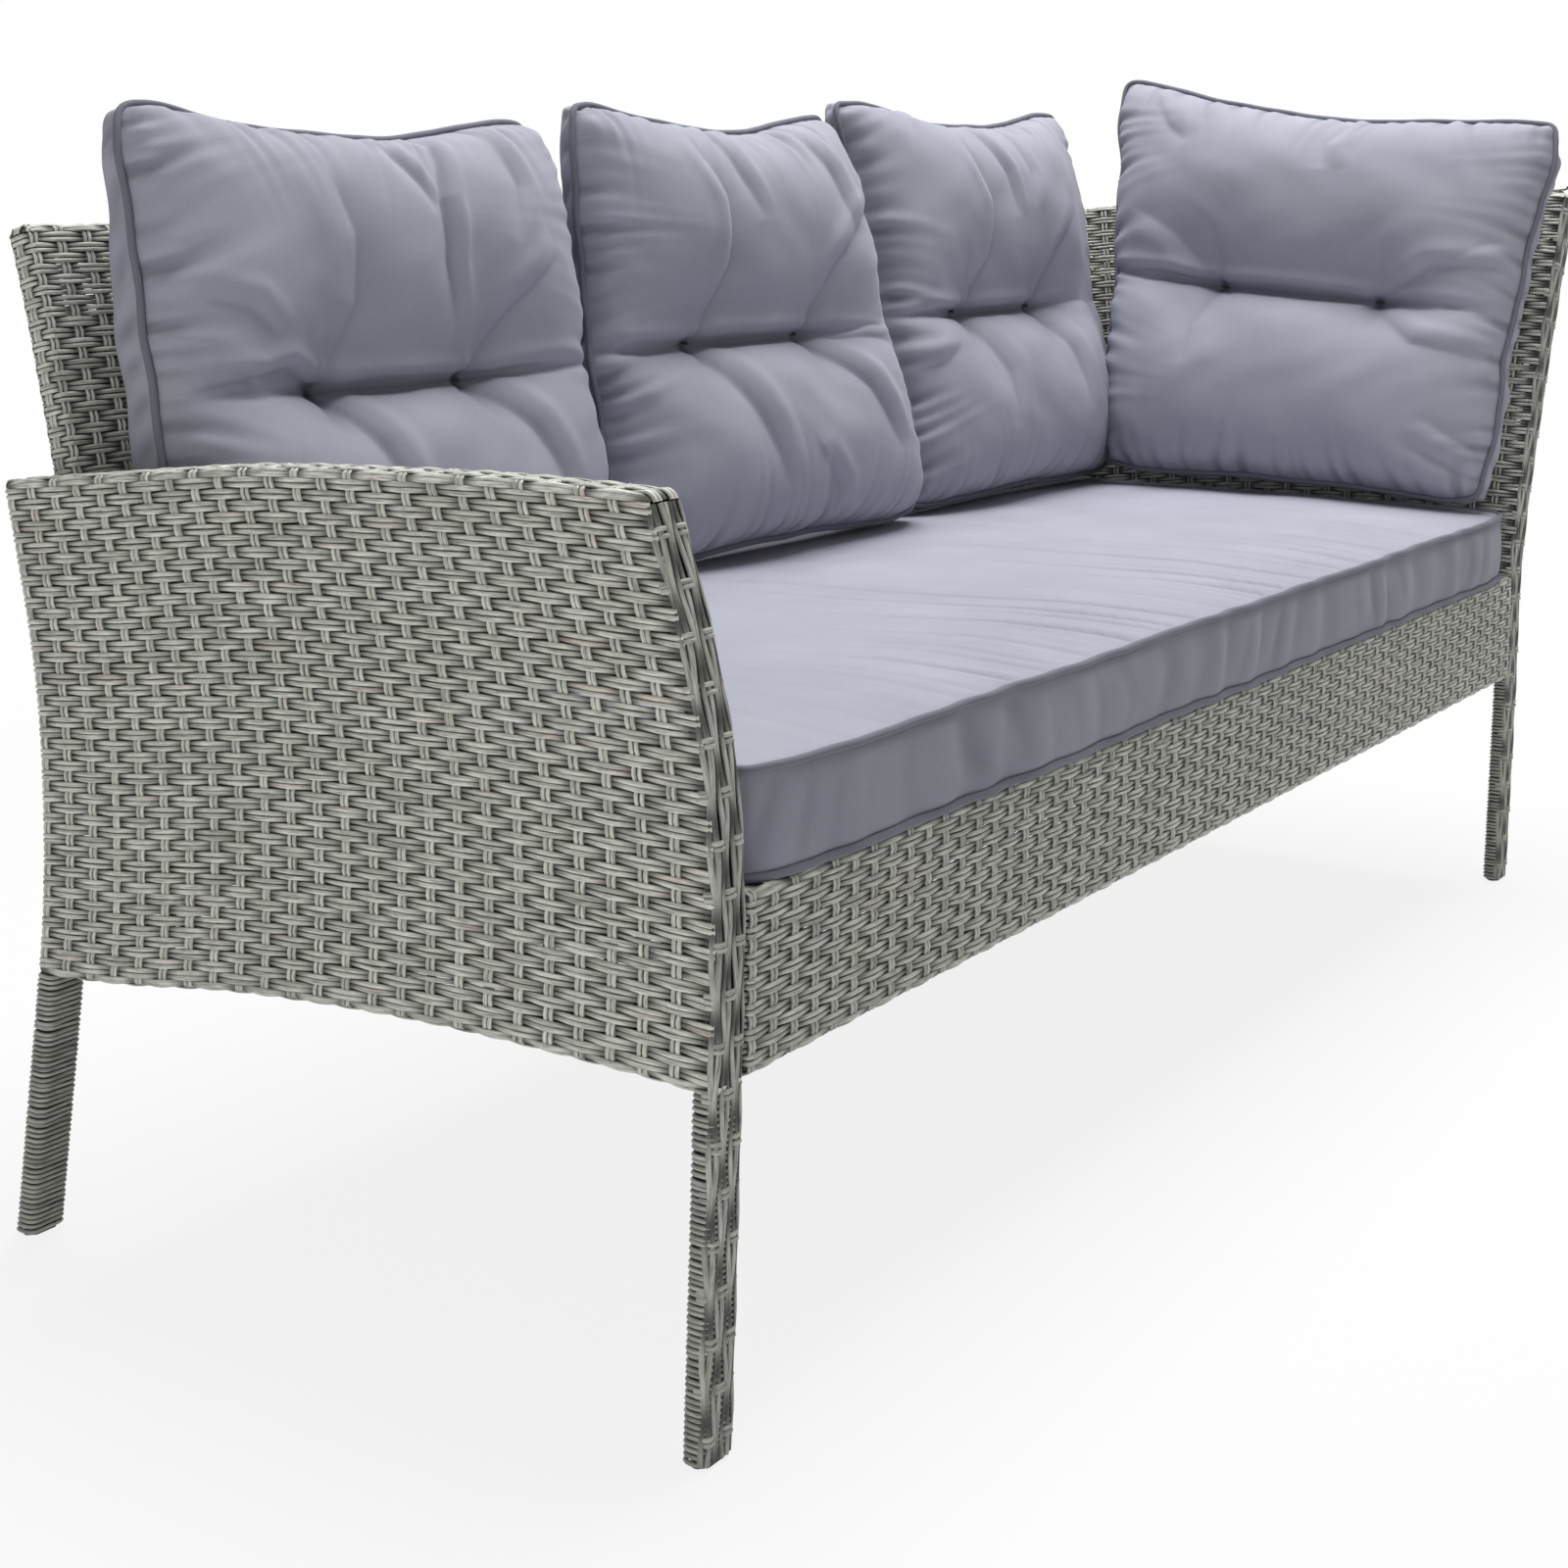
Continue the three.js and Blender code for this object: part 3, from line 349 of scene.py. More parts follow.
class Weave:
    """A plain weave of paired strands over a panel, both faces and the edges."""

    def __init__(self, panel, columns, courses, edge_courses, end_columns=2):
        self.panel, self.columns, self.courses = panel, columns, courses
        self.end_columns, self.edge_courses = end_columns, edge_courses
        self.course = (panel.rise - 2 * EDGE_ROUND) / courses
        self.radius = min(EDGE_ROUND, panel.thick / 2 - 0.01)
        self.ring = 2 * (columns + end_columns)
        self.loop = 2 * (courses + edge_courses)
        self.round_the_end = math.pi * self.radius + panel.thick - 2 * self.radius

    def along(self, place):
        return profile(place, self.panel.length, self.panel.thick, self.radius, self.columns, self.end_columns)

    def up(self, place):
        return profile(place, self.panel.rise, self.panel.thick, self.radius, self.courses, self.edge_courses)

    def height(self, courses):
        return EDGE_ROUND + (self.panel.rise - 2 * EDGE_ROUND) * courses / self.courses

    def axes(self, along, rise, through):
        """The panel's own directions at a place: along it, up it and out of it."""
        step = 1.0
        point = self.panel.point
        run = unit(point(along + step, rise, through) - point(along - step, rise, through))
        lift = point(along, rise + step, through) - point(along, rise - step, through)
        out = unit(np.cross(lift, run))
        flat = point(along, rise, through + step) - point(along, rise, through - step)
        return run, unit(lift), out * np.sign(np.sum(out * flat, -1, keepdims=True))

    def laid(self, place, swing, n_along=0, n_up=0, n_out=1, drop=0):
        """The path through a place along the panel, up it and through it, and its normals from their parts along, up
        and out of the panel. The path swings over and under the middle of the weave and drops down the panel."""
        run, lift, out = self.axes(*place)
        normal = unit(scaled(run, n_along) + scaled(lift, n_up) + scaled(out, n_out))
        return self.panel.point(*place) - scaled(lift, drop) + scaled(normal, swing - SINK), normal

    def weft(self, strands, low, high, steps, section=CORNER):
        """Courses round the panel, from place low to place high of its ring."""
        count = int(round((high - low) * steps)) + 1
        place = np.linspace(low, high, count)[None, :]
        course, side = paired(range(self.courses))
        wave = np.cos(math.pi * (place + course))
        jitter = random.normal(0, 0.1, course.shape)
        drift = random.normal(0, 0.12, (len(course), max(3, count // steps)))
        drift = np.stack([np.interp(np.linspace(0, 1, count), np.linspace(0, 1, drift.shape[1]), d) for d in drift])
        offset = side * (PAIR_SHARE - PAIR_CLOSE + PAIR_SPREAD * wave) + (jitter + drift) / self.course
        along, through, n_along, n_out = self.along(np.broadcast_to(place, wave.shape))
        rise = self.height(course + 0.5 + offset)
        path, normal = self.laid((along, rise, through), WEFT_RISE * wave, n_along=n_along, n_out=n_out)
        wide = self.course * (WEFT_WIDE + WEFT_SWELL * wave) * (1 + random.normal(0, 0.03, course.shape))
        strands.add(path, normal, wide, wave, section=section)

    def edge_weft(self, strands, top, steps):
        """Courses along the top or the bottom edge of the panel, which turn down round its corners."""
        first = self.courses if top else 2 * self.courses + self.edge_courses
        near = np.array([0, 0.02, 0.06, 0.12, 0.2, 0.3])
        inside = np.linspace(0.5, self.columns - 0.5, (self.columns - 1) * steps + 1)
        place = np.concatenate([near, inside, self.columns - near[::-1]])[None, :]
        course, side = paired(range(first, first + self.edge_courses))
        wave = np.cos(math.pi * (place + course))
        rise, through, n_up, n_out = self.up(np.broadcast_to(course + 0.5 + side * PAIR_SHARE, wave.shape))
        beside = np.clip(np.abs(through) - (self.panel.thick / 2 - self.radius), 0, self.radius)
        inset = self.radius - np.sqrt(self.radius ** 2 - beside ** 2)
        along = inset + place / self.columns * (self.panel.length - 2 * inset)
        from_end = np.clip((np.minimum(along, self.panel.length - along) - inset) / EDGE_ROUND, 0, 1)
        level = np.sqrt(1 - (1 - from_end) ** 2)
        n_along = np.where(along < self.panel.length / 2, -1, 1) * (1 - from_end) * np.abs(n_up)
        path, normal = self.laid((along, rise, through), WEFT_RISE * wave, n_along, n_up * level, n_out,
                                 drop=EDGE_ROUND * (1 - level) * n_up)
        wide = self.round_the_end / self.edge_courses * (EDGE_WEFT_WIDE + WEFT_SWELL * wave)
        strands.add(path, normal, wide, wave)

    def warp(self, strands, places, steps, low=None, high=None):
        """Pairs of strands over the panel's edges: the whole loop, or from low to high of it."""
        closed = low is None
        low, high = (0, self.loop) if closed else (low, high)
        count = int(round((high - low) * steps)) + (0 if closed else 1)
        v = np.linspace(low, high, count, endpoint=not closed)[None, :]
        column, side = paired(places)
        wave = -np.cos(math.pi * (column + v - 0.5))
        offset = side * WARP_APART + random.normal(0, 0.2, column.shape)
        rise, through, n_up, n_out = self.up(np.broadcast_to(v, wave.shape))
        along = self.along(np.broadcast_to(column, wave.shape))[0] + offset * np.where(column > self.columns, -1, 1)
        path, normal = self.laid((along, rise, through), WARP_RISE * wave, n_up=n_up, n_out=n_out)
        wide = WARP_WIDE * (1 + random.normal(0, 0.04, column.shape)) * (1 + WARP_SWELL * wave)
        strands.add(path, normal, wide, wave, closed=closed)

    def end_warp(self, strands, places, steps=3):
        """Pairs of strands that run up the end strips."""
        v = np.linspace(0, self.courses, self.courses * steps + 1)[None, :]
        column, side = paired(places)
        wave = -np.cos(math.pi * (column + v - 0.5))
        shift = side * END_WARP_APART * self.end_columns / self.round_the_end
        along, through, n_along, n_out = self.along(np.broadcast_to(column + shift, wave.shape))
        rise = np.broadcast_to(self.height(v), wave.shape)
        path, normal = self.laid((along, rise, through), WARP_RISE * wave, n_along=n_along, n_out=n_out)
        strands.add(path, normal, WARP_WIDE, wave)


# Materials
def colour(value):
    """Red, green, blue and alpha from six hex digits, from one grey or from three shares."""
    if isinstance(value, str):
        channels = [int(value[i:i + 2], 16) / 255 for i in (0, 2, 4)]
        value = [c / 12.92 if c <= 0.04045 else ((c + 0.055) / 1.055) ** 2.4 for c in channels]
    elif isinstance(value, (int, float)):
        value = [value] * 3
    return (*value, 1)


class Shading:
    """Adds nodes to a material's or a world's tree. An input is a value or the socket of another node."""

    def __init__(self, owner):
        owner.use_nodes = True
        self.owner = owner
        self.nodes, self.links = owner.node_tree.nodes, owner.node_tree.links

    def fill(self, socket, value):
        if isinstance(value, bpy.types.NodeSocket):
            self.links.new(value, socket)
        else:
            socket.default_value = value

    def node(self, kind, inputs=(), **settings):
        made = self.nodes.new("ShaderNode" + kind)
        for name, value in settings.items():
            setattr(made, name, value)
        for key, value in dict(inputs).items():
            self.fill(made.inputs[key], value)
        return made

    def surface(self, inputs):
        for name, value in inputs.items():
            self.fill(self.nodes["Principled BSDF"].inputs[name], value)

    def bump(self, height, strength, distance):
        made = self.node("Bump", {"Strength": strength, "Distance": distance, "Height": height})
        self.surface({"Normal": made.outputs["Normal"]})

    def place(self):
        return self.node("TexCoord").outputs["Object"]

    def attribute(self, name, output):
        return self.node("Attribute", attribute_name=name).outputs[output]

    def maths(self, operation, a, b, clamp=False):
        return self.node("Math", {0: a, 1: b}, operation=operation, use_clamp=clamp).outputs[0]

    def noise(self, vector, scale, detail, rough=0.6):
        inputs = {"Vector": vector, "Scale": scale, "Detail": detail, "Roughness": rough}
        return self.node("TexNoise", inputs).outputs["Fac"]

    def streaks(self, vector, stretch, detail, rough=0.6):
        stretched = self.node("VectorMath", {0: vector, 1: stretch}, operation="MULTIPLY")
        return self.noise(stretched.outputs["Vector"], 1.0, detail, rough)

    def bands(self, vector, axis, **inputs):
        return self.node("TexWave", {"Vector": vector, **inputs}, bands_direction=axis).outputs["Fac"]

    def ramp(self, source, *stops):
        made = self.node("ValToRGB", {"Fac": source})
        elements = made.color_ramp.elements
        while len(elements) < len(stops):
            elements.new(0.5)
        for element, (position, value) in zip(elements, stops):
            element.position, element.color = position, colour(value)
        return made.outputs["Color"]

    def times(self, a, b, amount=1.0):
        """Colour a multiplied by colour b, by that amount."""
        made = self.node("Mix", data_type="RGBA", blend_type="MULTIPLY")
        for name, value in (("Factor", amount), ("A", a), ("B", b)):
            kind = "VALUE" if name == "Factor" else "RGBA"
            self.fill(next(s for s in made.inputs if (s.name, s.type, s.enabled) == (name, kind, True)), value)
        return next(s for s in made.outputs if s.enabled and s.type == "RGBA")

    def blend(self, share, first, second, output):
        """Mixes two shaders into the tree's output."""
        made = self.node("MixShader", {0: share, 1: first.outputs[0], 2: second.outputs[0]})
        self.links.new(made.outputs[0], self.nodes[output].inputs["Surface"])

    def seen(self):
        """1 where the camera, a glossy surface or glass sees this, and 0 for the light that it gives."""
        rays = self.node("LightPath").outputs
        total = self.maths("ADD", rays["Is Camera Ray"], rays["Is Glossy Ray"])
        return self.maths("ADD", total, rays["Is Transmission Ray"], clamp=True)


def rattan(name, tone=1.0):
    """Extruded strands: streaked light grey with darker and warmer lengths, fine grain along them, and painted shade
    that darkens their sides and the lengths that lie under others."""
    shade = Shading(bpy.data.materials.new(name))
    place = shade.attribute("strand_place", "Vector")
    streaked = shade.ramp(shade.streaks(place, (60, 900, 200), 5, 0.62),
                          (0.3, "8a8b86"), (0.42, "c2c3bd"), (0.54, "e8e9e3"), (0.7, "fbfbf6"))
    patches = shade.ramp(shade.streaks(place, (14, 60, 90), 3), (0.36, 0.55), (0.52, 1))
    warmth = shade.ramp(shade.streaks(place, (6, 30, 60), 2), (0.35, "f3f5ee"), (0.6, "ffffff"), (0.74, "f8ece4"))
    height = shade.node("SeparateXYZ", {0: shade.attribute("strand_height", "Vector")}).outputs
    # Painted shade: darker towards the sides of each strand's section, and along the lengths that lie under the
    # strands they cross
    sides = shade.ramp(height["X"], (0.0, 0.035), (0.36, (0.42, 0.42, 0.415)), (0.76, 1))
    under = shade.ramp(height["Y"], (0.0, (0.14, 0.14, 0.138)), (0.4, 0.74), (0.75, 1))
    base = shade.times(shade.times(streaked, patches, 0.7), warmth)
    base = shade.times(base, (tone, tone, tone * 0.985, 1))
    shade.surface({"Base Color": shade.times(base, shade.times(sides, under)), "Roughness": 0.5,
                   "Specular IOR Level": 0.45})
    shade.bump(shade.streaks(place, (120, 2600, 200), 4), 0.6, 0.0006)
    return shade.owner


def woven_sheet(name):
    """A flat weave of strands in both directions, seen only from below: crossing bands with grain and relief, and
    painted shade in the gaps between them.
    """
    shade = Shading(bpy.data.materials.new(name))
    place = shade.place()
    cross = shade.maths("MULTIPLY", *[shade.bands(place, axis, Scale=22, Distortion=0.6) for axis in "XY"])
    # Painted shade: darkest where neither band lies on top, in the gaps between the strands
    base = shade.ramp(cross, (0.0, "2b2b2a"), (0.2, "8d8e88"), (1.0, "d6d7cf"))
    grain = shade.ramp(shade.noise(place, 180, 4), (0.35, (0.8, 0.8, 0.79)), (0.65, (1.05, 1.05, 1.04)))
    shade.surface({"Base Color": shade.times(base, grain), "Roughness": 0.55})
    shade.bump(cross, 0.6, 0.002)
    return shade.owner


def simple(name, tone, metallic, rough, scale, mottling):
    """Painted or plated metal and moulded plastic: a tone with fine mottling and orange peel."""
    shade = Shading(bpy.data.materials.new(name))
    place = shade.place()
    dark, light = ([c * share for c in colour(tone)[:3]] for share in (1 - mottling, 1 + mottling))
    shade.surface({
        "Base Color": shade.ramp(shade.noise(place, scale, 4), (0.3, dark), (0.7, light)),
        "Metallic": metallic,
        "Roughness": shade.ramp(shade.noise(place, scale / 3, 3), (0.3, rough * 0.85), (0.7, rough * 1.15)),
    })
    shade.bump(shade.noise(place, scale * 1.6, 2), 0.15, 0.0004)
    return shade.owner


def cloth(name, tone, dark):
    """Smooth outdoor cloth: a fine thread texture, faint mottling, soft sheen, and painted shade deep in its folds."""
    shade = Shading(bpy.data.materials.new(name))
    place = shade.place()
    base = shade.ramp(shade.noise(place, 9, 5), (0.3, dark), (0.7, tone))
    base = shade.times(base, shade.ramp(shade.noise(place, 900, 2), (0.35, 0.93), (0.65, 1.04)))
    # Painted shade from the cover's fold attribute: darker deep in folds, creases, gathers and the tufts' pits
    deep = shade.ramp(shade.attribute("painted_fold_shade", "Fac"), (0.0, 1), (0.5, (0.6, 0.6, 0.62)), (1.0, (0.2, 0.2, 0.21)))
    shade.surface({"Base Color": shade.times(base, deep), "Roughness": 0.85, "Sheen Weight": 0.12,
                   "Sheen Roughness": 0.4, "Specular IOR Level": 0.3})
    x, y, z = (shade.bands(place, axis, Scale=300, Distortion=1.5, Detail=2) for axis in "XYZ")
    shade.bump(shade.maths("ADD", shade.maths("ADD", x, y), z), 0.12, 0.0003)
    return shade.owner


woven_look = rattan("woven_strands")
# A darker copy of the same strands: painted shade on the wound legs and the front strips
wound_look = rattan("wound_strands", tone=0.72)
# A darker copy of the same strands: painted shade on the apron under the seat's front
apron_look = rattan("apron_strands", tone=0.86)
deck_look = woven_sheet("woven_deck")
steel_look = simple("coated_steel", "3b3c3d", metallic=0.3, rough=0.45, scale=220, mottling=0.12)
zinc_look = simple("zinc_steel", "b4b6b8", metallic=0.9, rough=0.32, scale=260, mottling=0.08)
glide_look = simple("glide_plastic", "1c1c1d", metallic=0.0, rough=0.55, scale=200, mottling=0.15)
cloth_look = cloth("cushion_cloth", tone="aeafbb", dark="a3a4b1")
# The cord's cloth is drawn darker than the cover's: painted shade along the seams
piping_look = cloth("piping_cloth", tone="7e7f8a", dark="73747f")
thread_look = cloth("stitch_thread", tone="3a3b44", dark="2f3038")

FRAME_LOOKS = (("_tube", steel_look), ("_rail", steel_look), ("_post", steel_look), ("_bar_", steel_look),
               ("bolt", zinc_look), ("glide", glide_look), ("seat_woven_deck", deck_look))
for node_name, node_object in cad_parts.items():
    for part, look in FRAME_LOOKS:
        if part in node_name:
            node_object.data.materials.clear()
            node_object.data.materials.append(look)

# Woven panels
END_COLUMNS = 24
LONG_COLUMNS = 64
END_EDGE_COURSES = 5
PANEL_FRONT_LAP = 0.22  # how far an end panel's courses reach round its front edge, in columns

arm = EndPanel(0.0, ARM_HEIGHT, False, arm_front)
end = EndPanel(END_THICK + SEAT_LENGTH, END_HEIGHT, True, lambda z: -end_reach(z))


def woven_end(panel, name, courses, outer_first):
    """The arm or the end panel: both faces, the rear end and the top and bottom edges."""
    weave = Weave(panel, END_COLUMNS, courses, END_EDGE_COURSES)
    outer, inner = Strands(), Strands()
    middle = END_COLUMNS + 1
    edge = END_EDGE_COURSES / 2
    fine, plain = (5, ROUND), (4, CORNER)
    weave.weft(outer, -PANEL_FRONT_LAP, middle, *(fine if outer_first else plain))
    weave.weft(inner, middle, 2 * middle + PANEL_FRONT_LAP, *(plain if outer_first else fine))
    weave.edge_weft(outer, True, 5)
    weave.edge_weft(inner, False, 4)
    columns = range(1, END_COLUMNS)
    weave.warp(outer, columns, 3 if outer_first else 2, 0, courses + edge)
    weave.warp(inner, columns, 2, courses + edge, weave.loop - edge)
    weave.warp(inner, columns, 2, weave.loop - edge, weave.loop - 1e-6)
    weave.end_warp(outer, (END_COLUMNS, middle, middle + 1))
    outer.finish(f"{name}_weave_outer", f"{name}_woven_cover", woven_look)
    inner.finish(f"{name}_weave_inner", f"{name}_woven_cover", woven_look)


def woven_run(panel, name, courses, edge_courses, parts, steps, look):
    """A long panel, made in stretches of columns; each stretch is a piece of its own."""
    weave = Weave(panel, LONG_COLUMNS, courses, edge_courses)
    columns, ring = LONG_COLUMNS, weave.ring
    bounds = [round(i * columns / parts) for i in range(parts + 1)]
    for i, (low, high) in enumerate(zip(bounds, bounds[1:])):
        strands = Strands()
        fineness = steps if i == 0 else steps - 1
        weave.weft(strands, low, high, fineness)
        weave.weft(strands, 2 * columns + 2 - high, 2 * columns + 2 - low, fineness)
        if i == 0:
            weave.weft(strands, ring - 2, ring, 7)
            weave.end_warp(strands, (ring - 1,))
        if i == parts - 1:
            weave.weft(strands, columns, columns + 2, 7)
            weave.end_warp(strands, (columns + 1,))
        weave.warp(strands, range(low + (0 if i == 0 else 1), high + 1), 2)
        strands.finish(f"{name}_weave_{i + 1}", f"{name}_woven_cover", look)
    edges = Strands()
    weave.edge_weft(edges, True, 4)
    weave.edge_weft(edges, False, 4)
    edges.finish(f"{name}_weave_edges", f"{name}_woven_cover", look)


woven_end(arm, "arm", courses=45, outer_first=True)
woven_end(end, "end", courses=68, outer_first=False)
woven_run(BackPanel(), "back", courses=64, edge_courses=5, parts=4, steps=4, look=woven_look)
woven_run(ApronPanel(), "apron", courses=13, edge_courses=3, parts=1, steps=5, look=apron_look)

# Wound legs and front strips
WINDING_PITCH = 4.35
WINDING_WIDE, WINDING_THICK = 4.1, 2.4
WINDING_INSET = 1.1
WINDING_STEPS = 32
WINDING_WAVE = 0.6  # gets the painted shade of strands that lie nearly on top
FRONT_STRIP_SINK = 1.6  # how far the front legs' windings draw back under the front strips
STRIP_PAIRS = 4
STRIP_BAND = 34.0  # from one short pair across a front strip to the next
STRIP_FOOT, STRIP_TOP_GAP = 3.0, 9.0
STRIP_STEP = 5.6
STRIP_APART, BAND_APART = 2.4, 2.2
STRIP_WIDE, STRIP_THICK = 5.0, 2.2
BAND_WIDE, BAND_THICK = 4.0, 2.0
BAND_TURN = 3.0  # how far the short pairs turn back beyond the front edge


def leg_middle(panel, at_rear, z):
    edge = frame_rear(z) if at_rear else panel.front(z)
    tilt = slope(frame_rear if at_rear else panel.front, z)
    inward = LEG_DEEP / 2 * np.hypot(1, tilt)
    return np.stack([panel.middle_x(z), edge - inward if at_rear else edge + inward, z], -1)


def ring_points(wide, deep, radius, count):
    """Round a rounded rectangle from the middle of its rear side: places and outward normals."""
    side, end = wide - 2 * radius, math.pi * radius + deep - 2 * radius
    place = (side / 2 + np.linspace(0, 2 * (side + end), count, endpoint=False)) % (2 * (side + end))
    along, through, n_along, n_through = profile(place, wide, deep, radius, side, end)
    return along - wide / 2, -through, n_along, -n_through


def wound_leg(panel, name, at_rear):
    """Strands wound round a leg from the floor up to the panel's lower edge."""
    low_edge = APRON_BOTTOM - float(bottom_fall(1.0 if at_rear else 0.0))
    heights = np.arange(2 + WINDING_PITCH / 2, low_edge + WINDING_PITCH, WINDING_PITCH)
    rings = (len(heights), 1)
    x, y, nx, ny = ring_points(END_THICK - 2 * WINDING_INSET, LEG_DEEP - 2 * WINDING_INSET,
                               EDGE_ROUND - WINDING_INSET, WINDING_STEPS)
    if not at_rear:
        y = np.where(ny < -0.3, y + FRONT_STRIP_SINK, y)
    z = heights[:, None] + random.normal(0, 0.18, rings)
    tilt = 0.5 * np.sin(np.linspace(0, 2 * math.pi, WINDING_STEPS))[None, :]
    z = z + tilt * random.normal(0, 0.6, rings)
    swell = random.normal(0, 0.12, rings)
    path = leg_middle(panel, at_rear, z) + np.stack([x + nx * swell, y + ny * swell, np.zeros_like(z)], -1)
    normal = np.broadcast_to(np.stack([nx, ny, np.zeros_like(nx)], -1), path.shape)
    strands = Strands()
    strands.add(path, normal, WINDING_WIDE, WINDING_WAVE, thick=WINDING_THICK, section=DOME, closed=True)
    strands.finish(f"{name}_winding", f"{name}_leg_wrap", wound_look)


def front_strip(panel, name):
    """Pairs of strands that run up the leg and the panel's front edge, with short pairs woven across them."""
    top = panel.height - STRIP_TOP_GAP
    width = math.pi * EDGE_ROUND + END_THICK - 2 * EDGE_ROUND
    pair_pitch = width / STRIP_PAIRS

    def laid(s, z, raised):
        """Path and normals at s round the front edge and height z; past the edge's ends a path runs straight back."""
        out, nx, depth = round_end(np.clip(s, 0, width), END_THICK, EDGE_ROUND)
        y = EDGE_ROUND - EDGE_ROUND * out + np.where(s < 0, -s, 0) + np.where(s > width, s - width, 0)
        across = panel.across(z)
        ahead = unit(np.stack([np.zeros_like(z), np.ones_like(z), -slope(panel.front, z)], -1))
        edge = np.stack([panel.middle_x(z), panel.front(z), z], -1)
        normal = unit(scaled(across, nx) - scaled(ahead, out))
        path = edge + scaled(across, depth - END_THICK / 2) + scaled(ahead, y)
        return path + scaled(normal, raised), normal

    strands = Strands()
    z = np.linspace(STRIP_FOOT, top, int((top - STRIP_FOOT) / STRIP_STEP))[None, :]
    column, side = paired(range(STRIP_PAIRS))
    phase = z / STRIP_BAND
    wander = 1.1 * np.sin(math.pi * (phase + column)) * side + 0.7 * np.sin(0.74 * math.pi * phase + column * 2.1)
    wave = np.cos(math.pi * (phase + column))
    s = (column + 0.5) * pair_pitch + side * STRIP_APART + wander + random.normal(0, 0.25, column.shape)
    path, normal = laid(np.clip(s, 0, width), z, 0.5 * wave - 1.35)
    strands.add(path, normal, STRIP_WIDE, wave, thick=STRIP_THICK, section=ROUND)

    band, side = paired(np.arange(STRIP_FOOT + STRIP_BAND / 2, top - 12, STRIP_BAND))
    s = np.linspace(-BAND_TURN, width + BAND_TURN, 26)[None, :]
    s, z = np.broadcast_arrays(s, band + side * BAND_APART + random.normal(0, 0.3, band.shape))
    wave = -np.cos(math.pi * (z / STRIP_BAND + s / pair_pitch - 0.5))
    path, normal = laid(s, z, 1.5 * wave - 1.6)
    strands.add(path, normal, BAND_WIDE, wave, thick=BAND_THICK, section=ROUND)
    strands.finish(f"{name}_front_strip", f"{name}_woven_cover", wound_look)


for panel, name in ((arm, "arm"), (end, "end")):
    wound_leg(panel, f"{name}_front", False)
    wound_leg(panel, f"{name}_rear", True)
    front_strip(panel, name)

# Cushions
CUSHION_GUSSET = 30.0
CUSHION_BACK = 14.0  # how far a tufted cushion swells behind its rear seam
MEAN_LEAN = math.atan2(float(lean(BACK_HEIGHT) - lean(SEAT_FRAME_TOP)), BACK_HEIGHT - SEAT_FRAME_TOP)
CUSHION_LEAN = 0.977 * MEAN_LEAN
END_CUSHION_LEAN = 1.262 * MEAN_LEAN
END_CUSHION_ROLL = math.radians(1.5)
END_CUSHION_MIDDLE = 0.4283 * WAIST_DEPTH
END_CUSHION_OFF = 30.0
TUFTED_CELLS, BOXED_CELLS = (80, 72, 5), (150, 52, 6)
TUFTED_EASE, BOXED_EASE = (0.05, 0.06, 0.03), (0.02, 0.02, 0.02)  # spare cloth, as shares of the seamed sizes
TUFT_SPACING = 190.0  # the spacing that the fold lines below are drawn for
TUFT_DEPTH = 66.0
EAR_PINCH = 0.55  # share of the gusset that is drawn in at the upper corners
EAR_ROUND = 15.0
PRESS_WIDTH = 150.0
SIDE_DRAW = 14.0  # how far the side seams draw in halfway up
TOP_DRAW = 37.0
SWELL_POWER = 0.42
SEAT_CROWN = 12.0
CREASE_ROOM = 2.5  # the part of the seat's crown that is left to its creases
PIPING_RADIUS = 3.4
PIPING_STEP = 5.0
TUBE_SIDES = 8
SETTLE_FRAMES = 24
FACE = 0.999  # nearer to -1 or 1 than this, a place lies on the box's face
NEAR_CREASE, NEAR_TUFT = 3.5, 7.0  # the cloth that the tufts' thread holds

# How far folds and puckers move the cloth in millimetres, and how much painted shade darkens it deep in them
RIDGE_SHARE = 0.55
FOLD_SHADE = 0.24
GATHER_LEFT, GATHER_RIGHT, GATHER_TOP = 3.0, 1.8, 2.4
GATHER_SHADE = 0.55
RUMPLE, FINE_RUMPLE = 1.8, 0.7
GUSSET_SHADE = 0.3
CREASE_SHADE = 0.8
PIT_SHADE = 0.12
OVERHANG_SHADE = 0.2
SEAT_FOLD, SEAT_FOLD_SHADE = 1.1, 0.24
SEAT_RUMPLE = 1.4
# The seat's front gusset: how far its folds move it, painted shade over all of it, and more painted shade in its folds
SEAT_SIDE_FOLD, SEAT_GUSSET_PAINTED_SHADE, SEAT_SIDE_SHADE = 1.3, 0.27, 0.2

# Folds of the cushions' fronts: each a line of places (across from midway between the tufts, up from them) in
# millimetres, where the tufts are TUFT_SPACING apart, then its depth and its width
FOLDS_LEFT = [
    ([(-262, 6), (-210, 8), (-150, 16), (-95, 0), (0, -1), (95, 0), (175, 2), (264, 0)], 9, 6.5),
    ([(72, 222), (50, 161), (46, 101), (66, 38)], 9, 7),
    ([(-92, 12), (-70, 66), (-74, 126), (-100, 196)], 6, 14),
    ([(98, 12), (140, 58), (205, 106)], 6, 10),
    ([(-92, -4), (-66, -59), (-52, -124)], 7, 11),
    ([(98, -4), (140, -54), (170, -124)], 7, 11),
    ([(-8, 216), (22, 176), (40, 148)], 5, 6),
    ([(150, 216), (160, 171), (140, 116)], 4, 9),
    ([(-240, 76), (-200, 66), (-165, 38)], 5, 8),
    ([(-240, 21), (-205, 14), (-180, 0)], 4, 7),
]
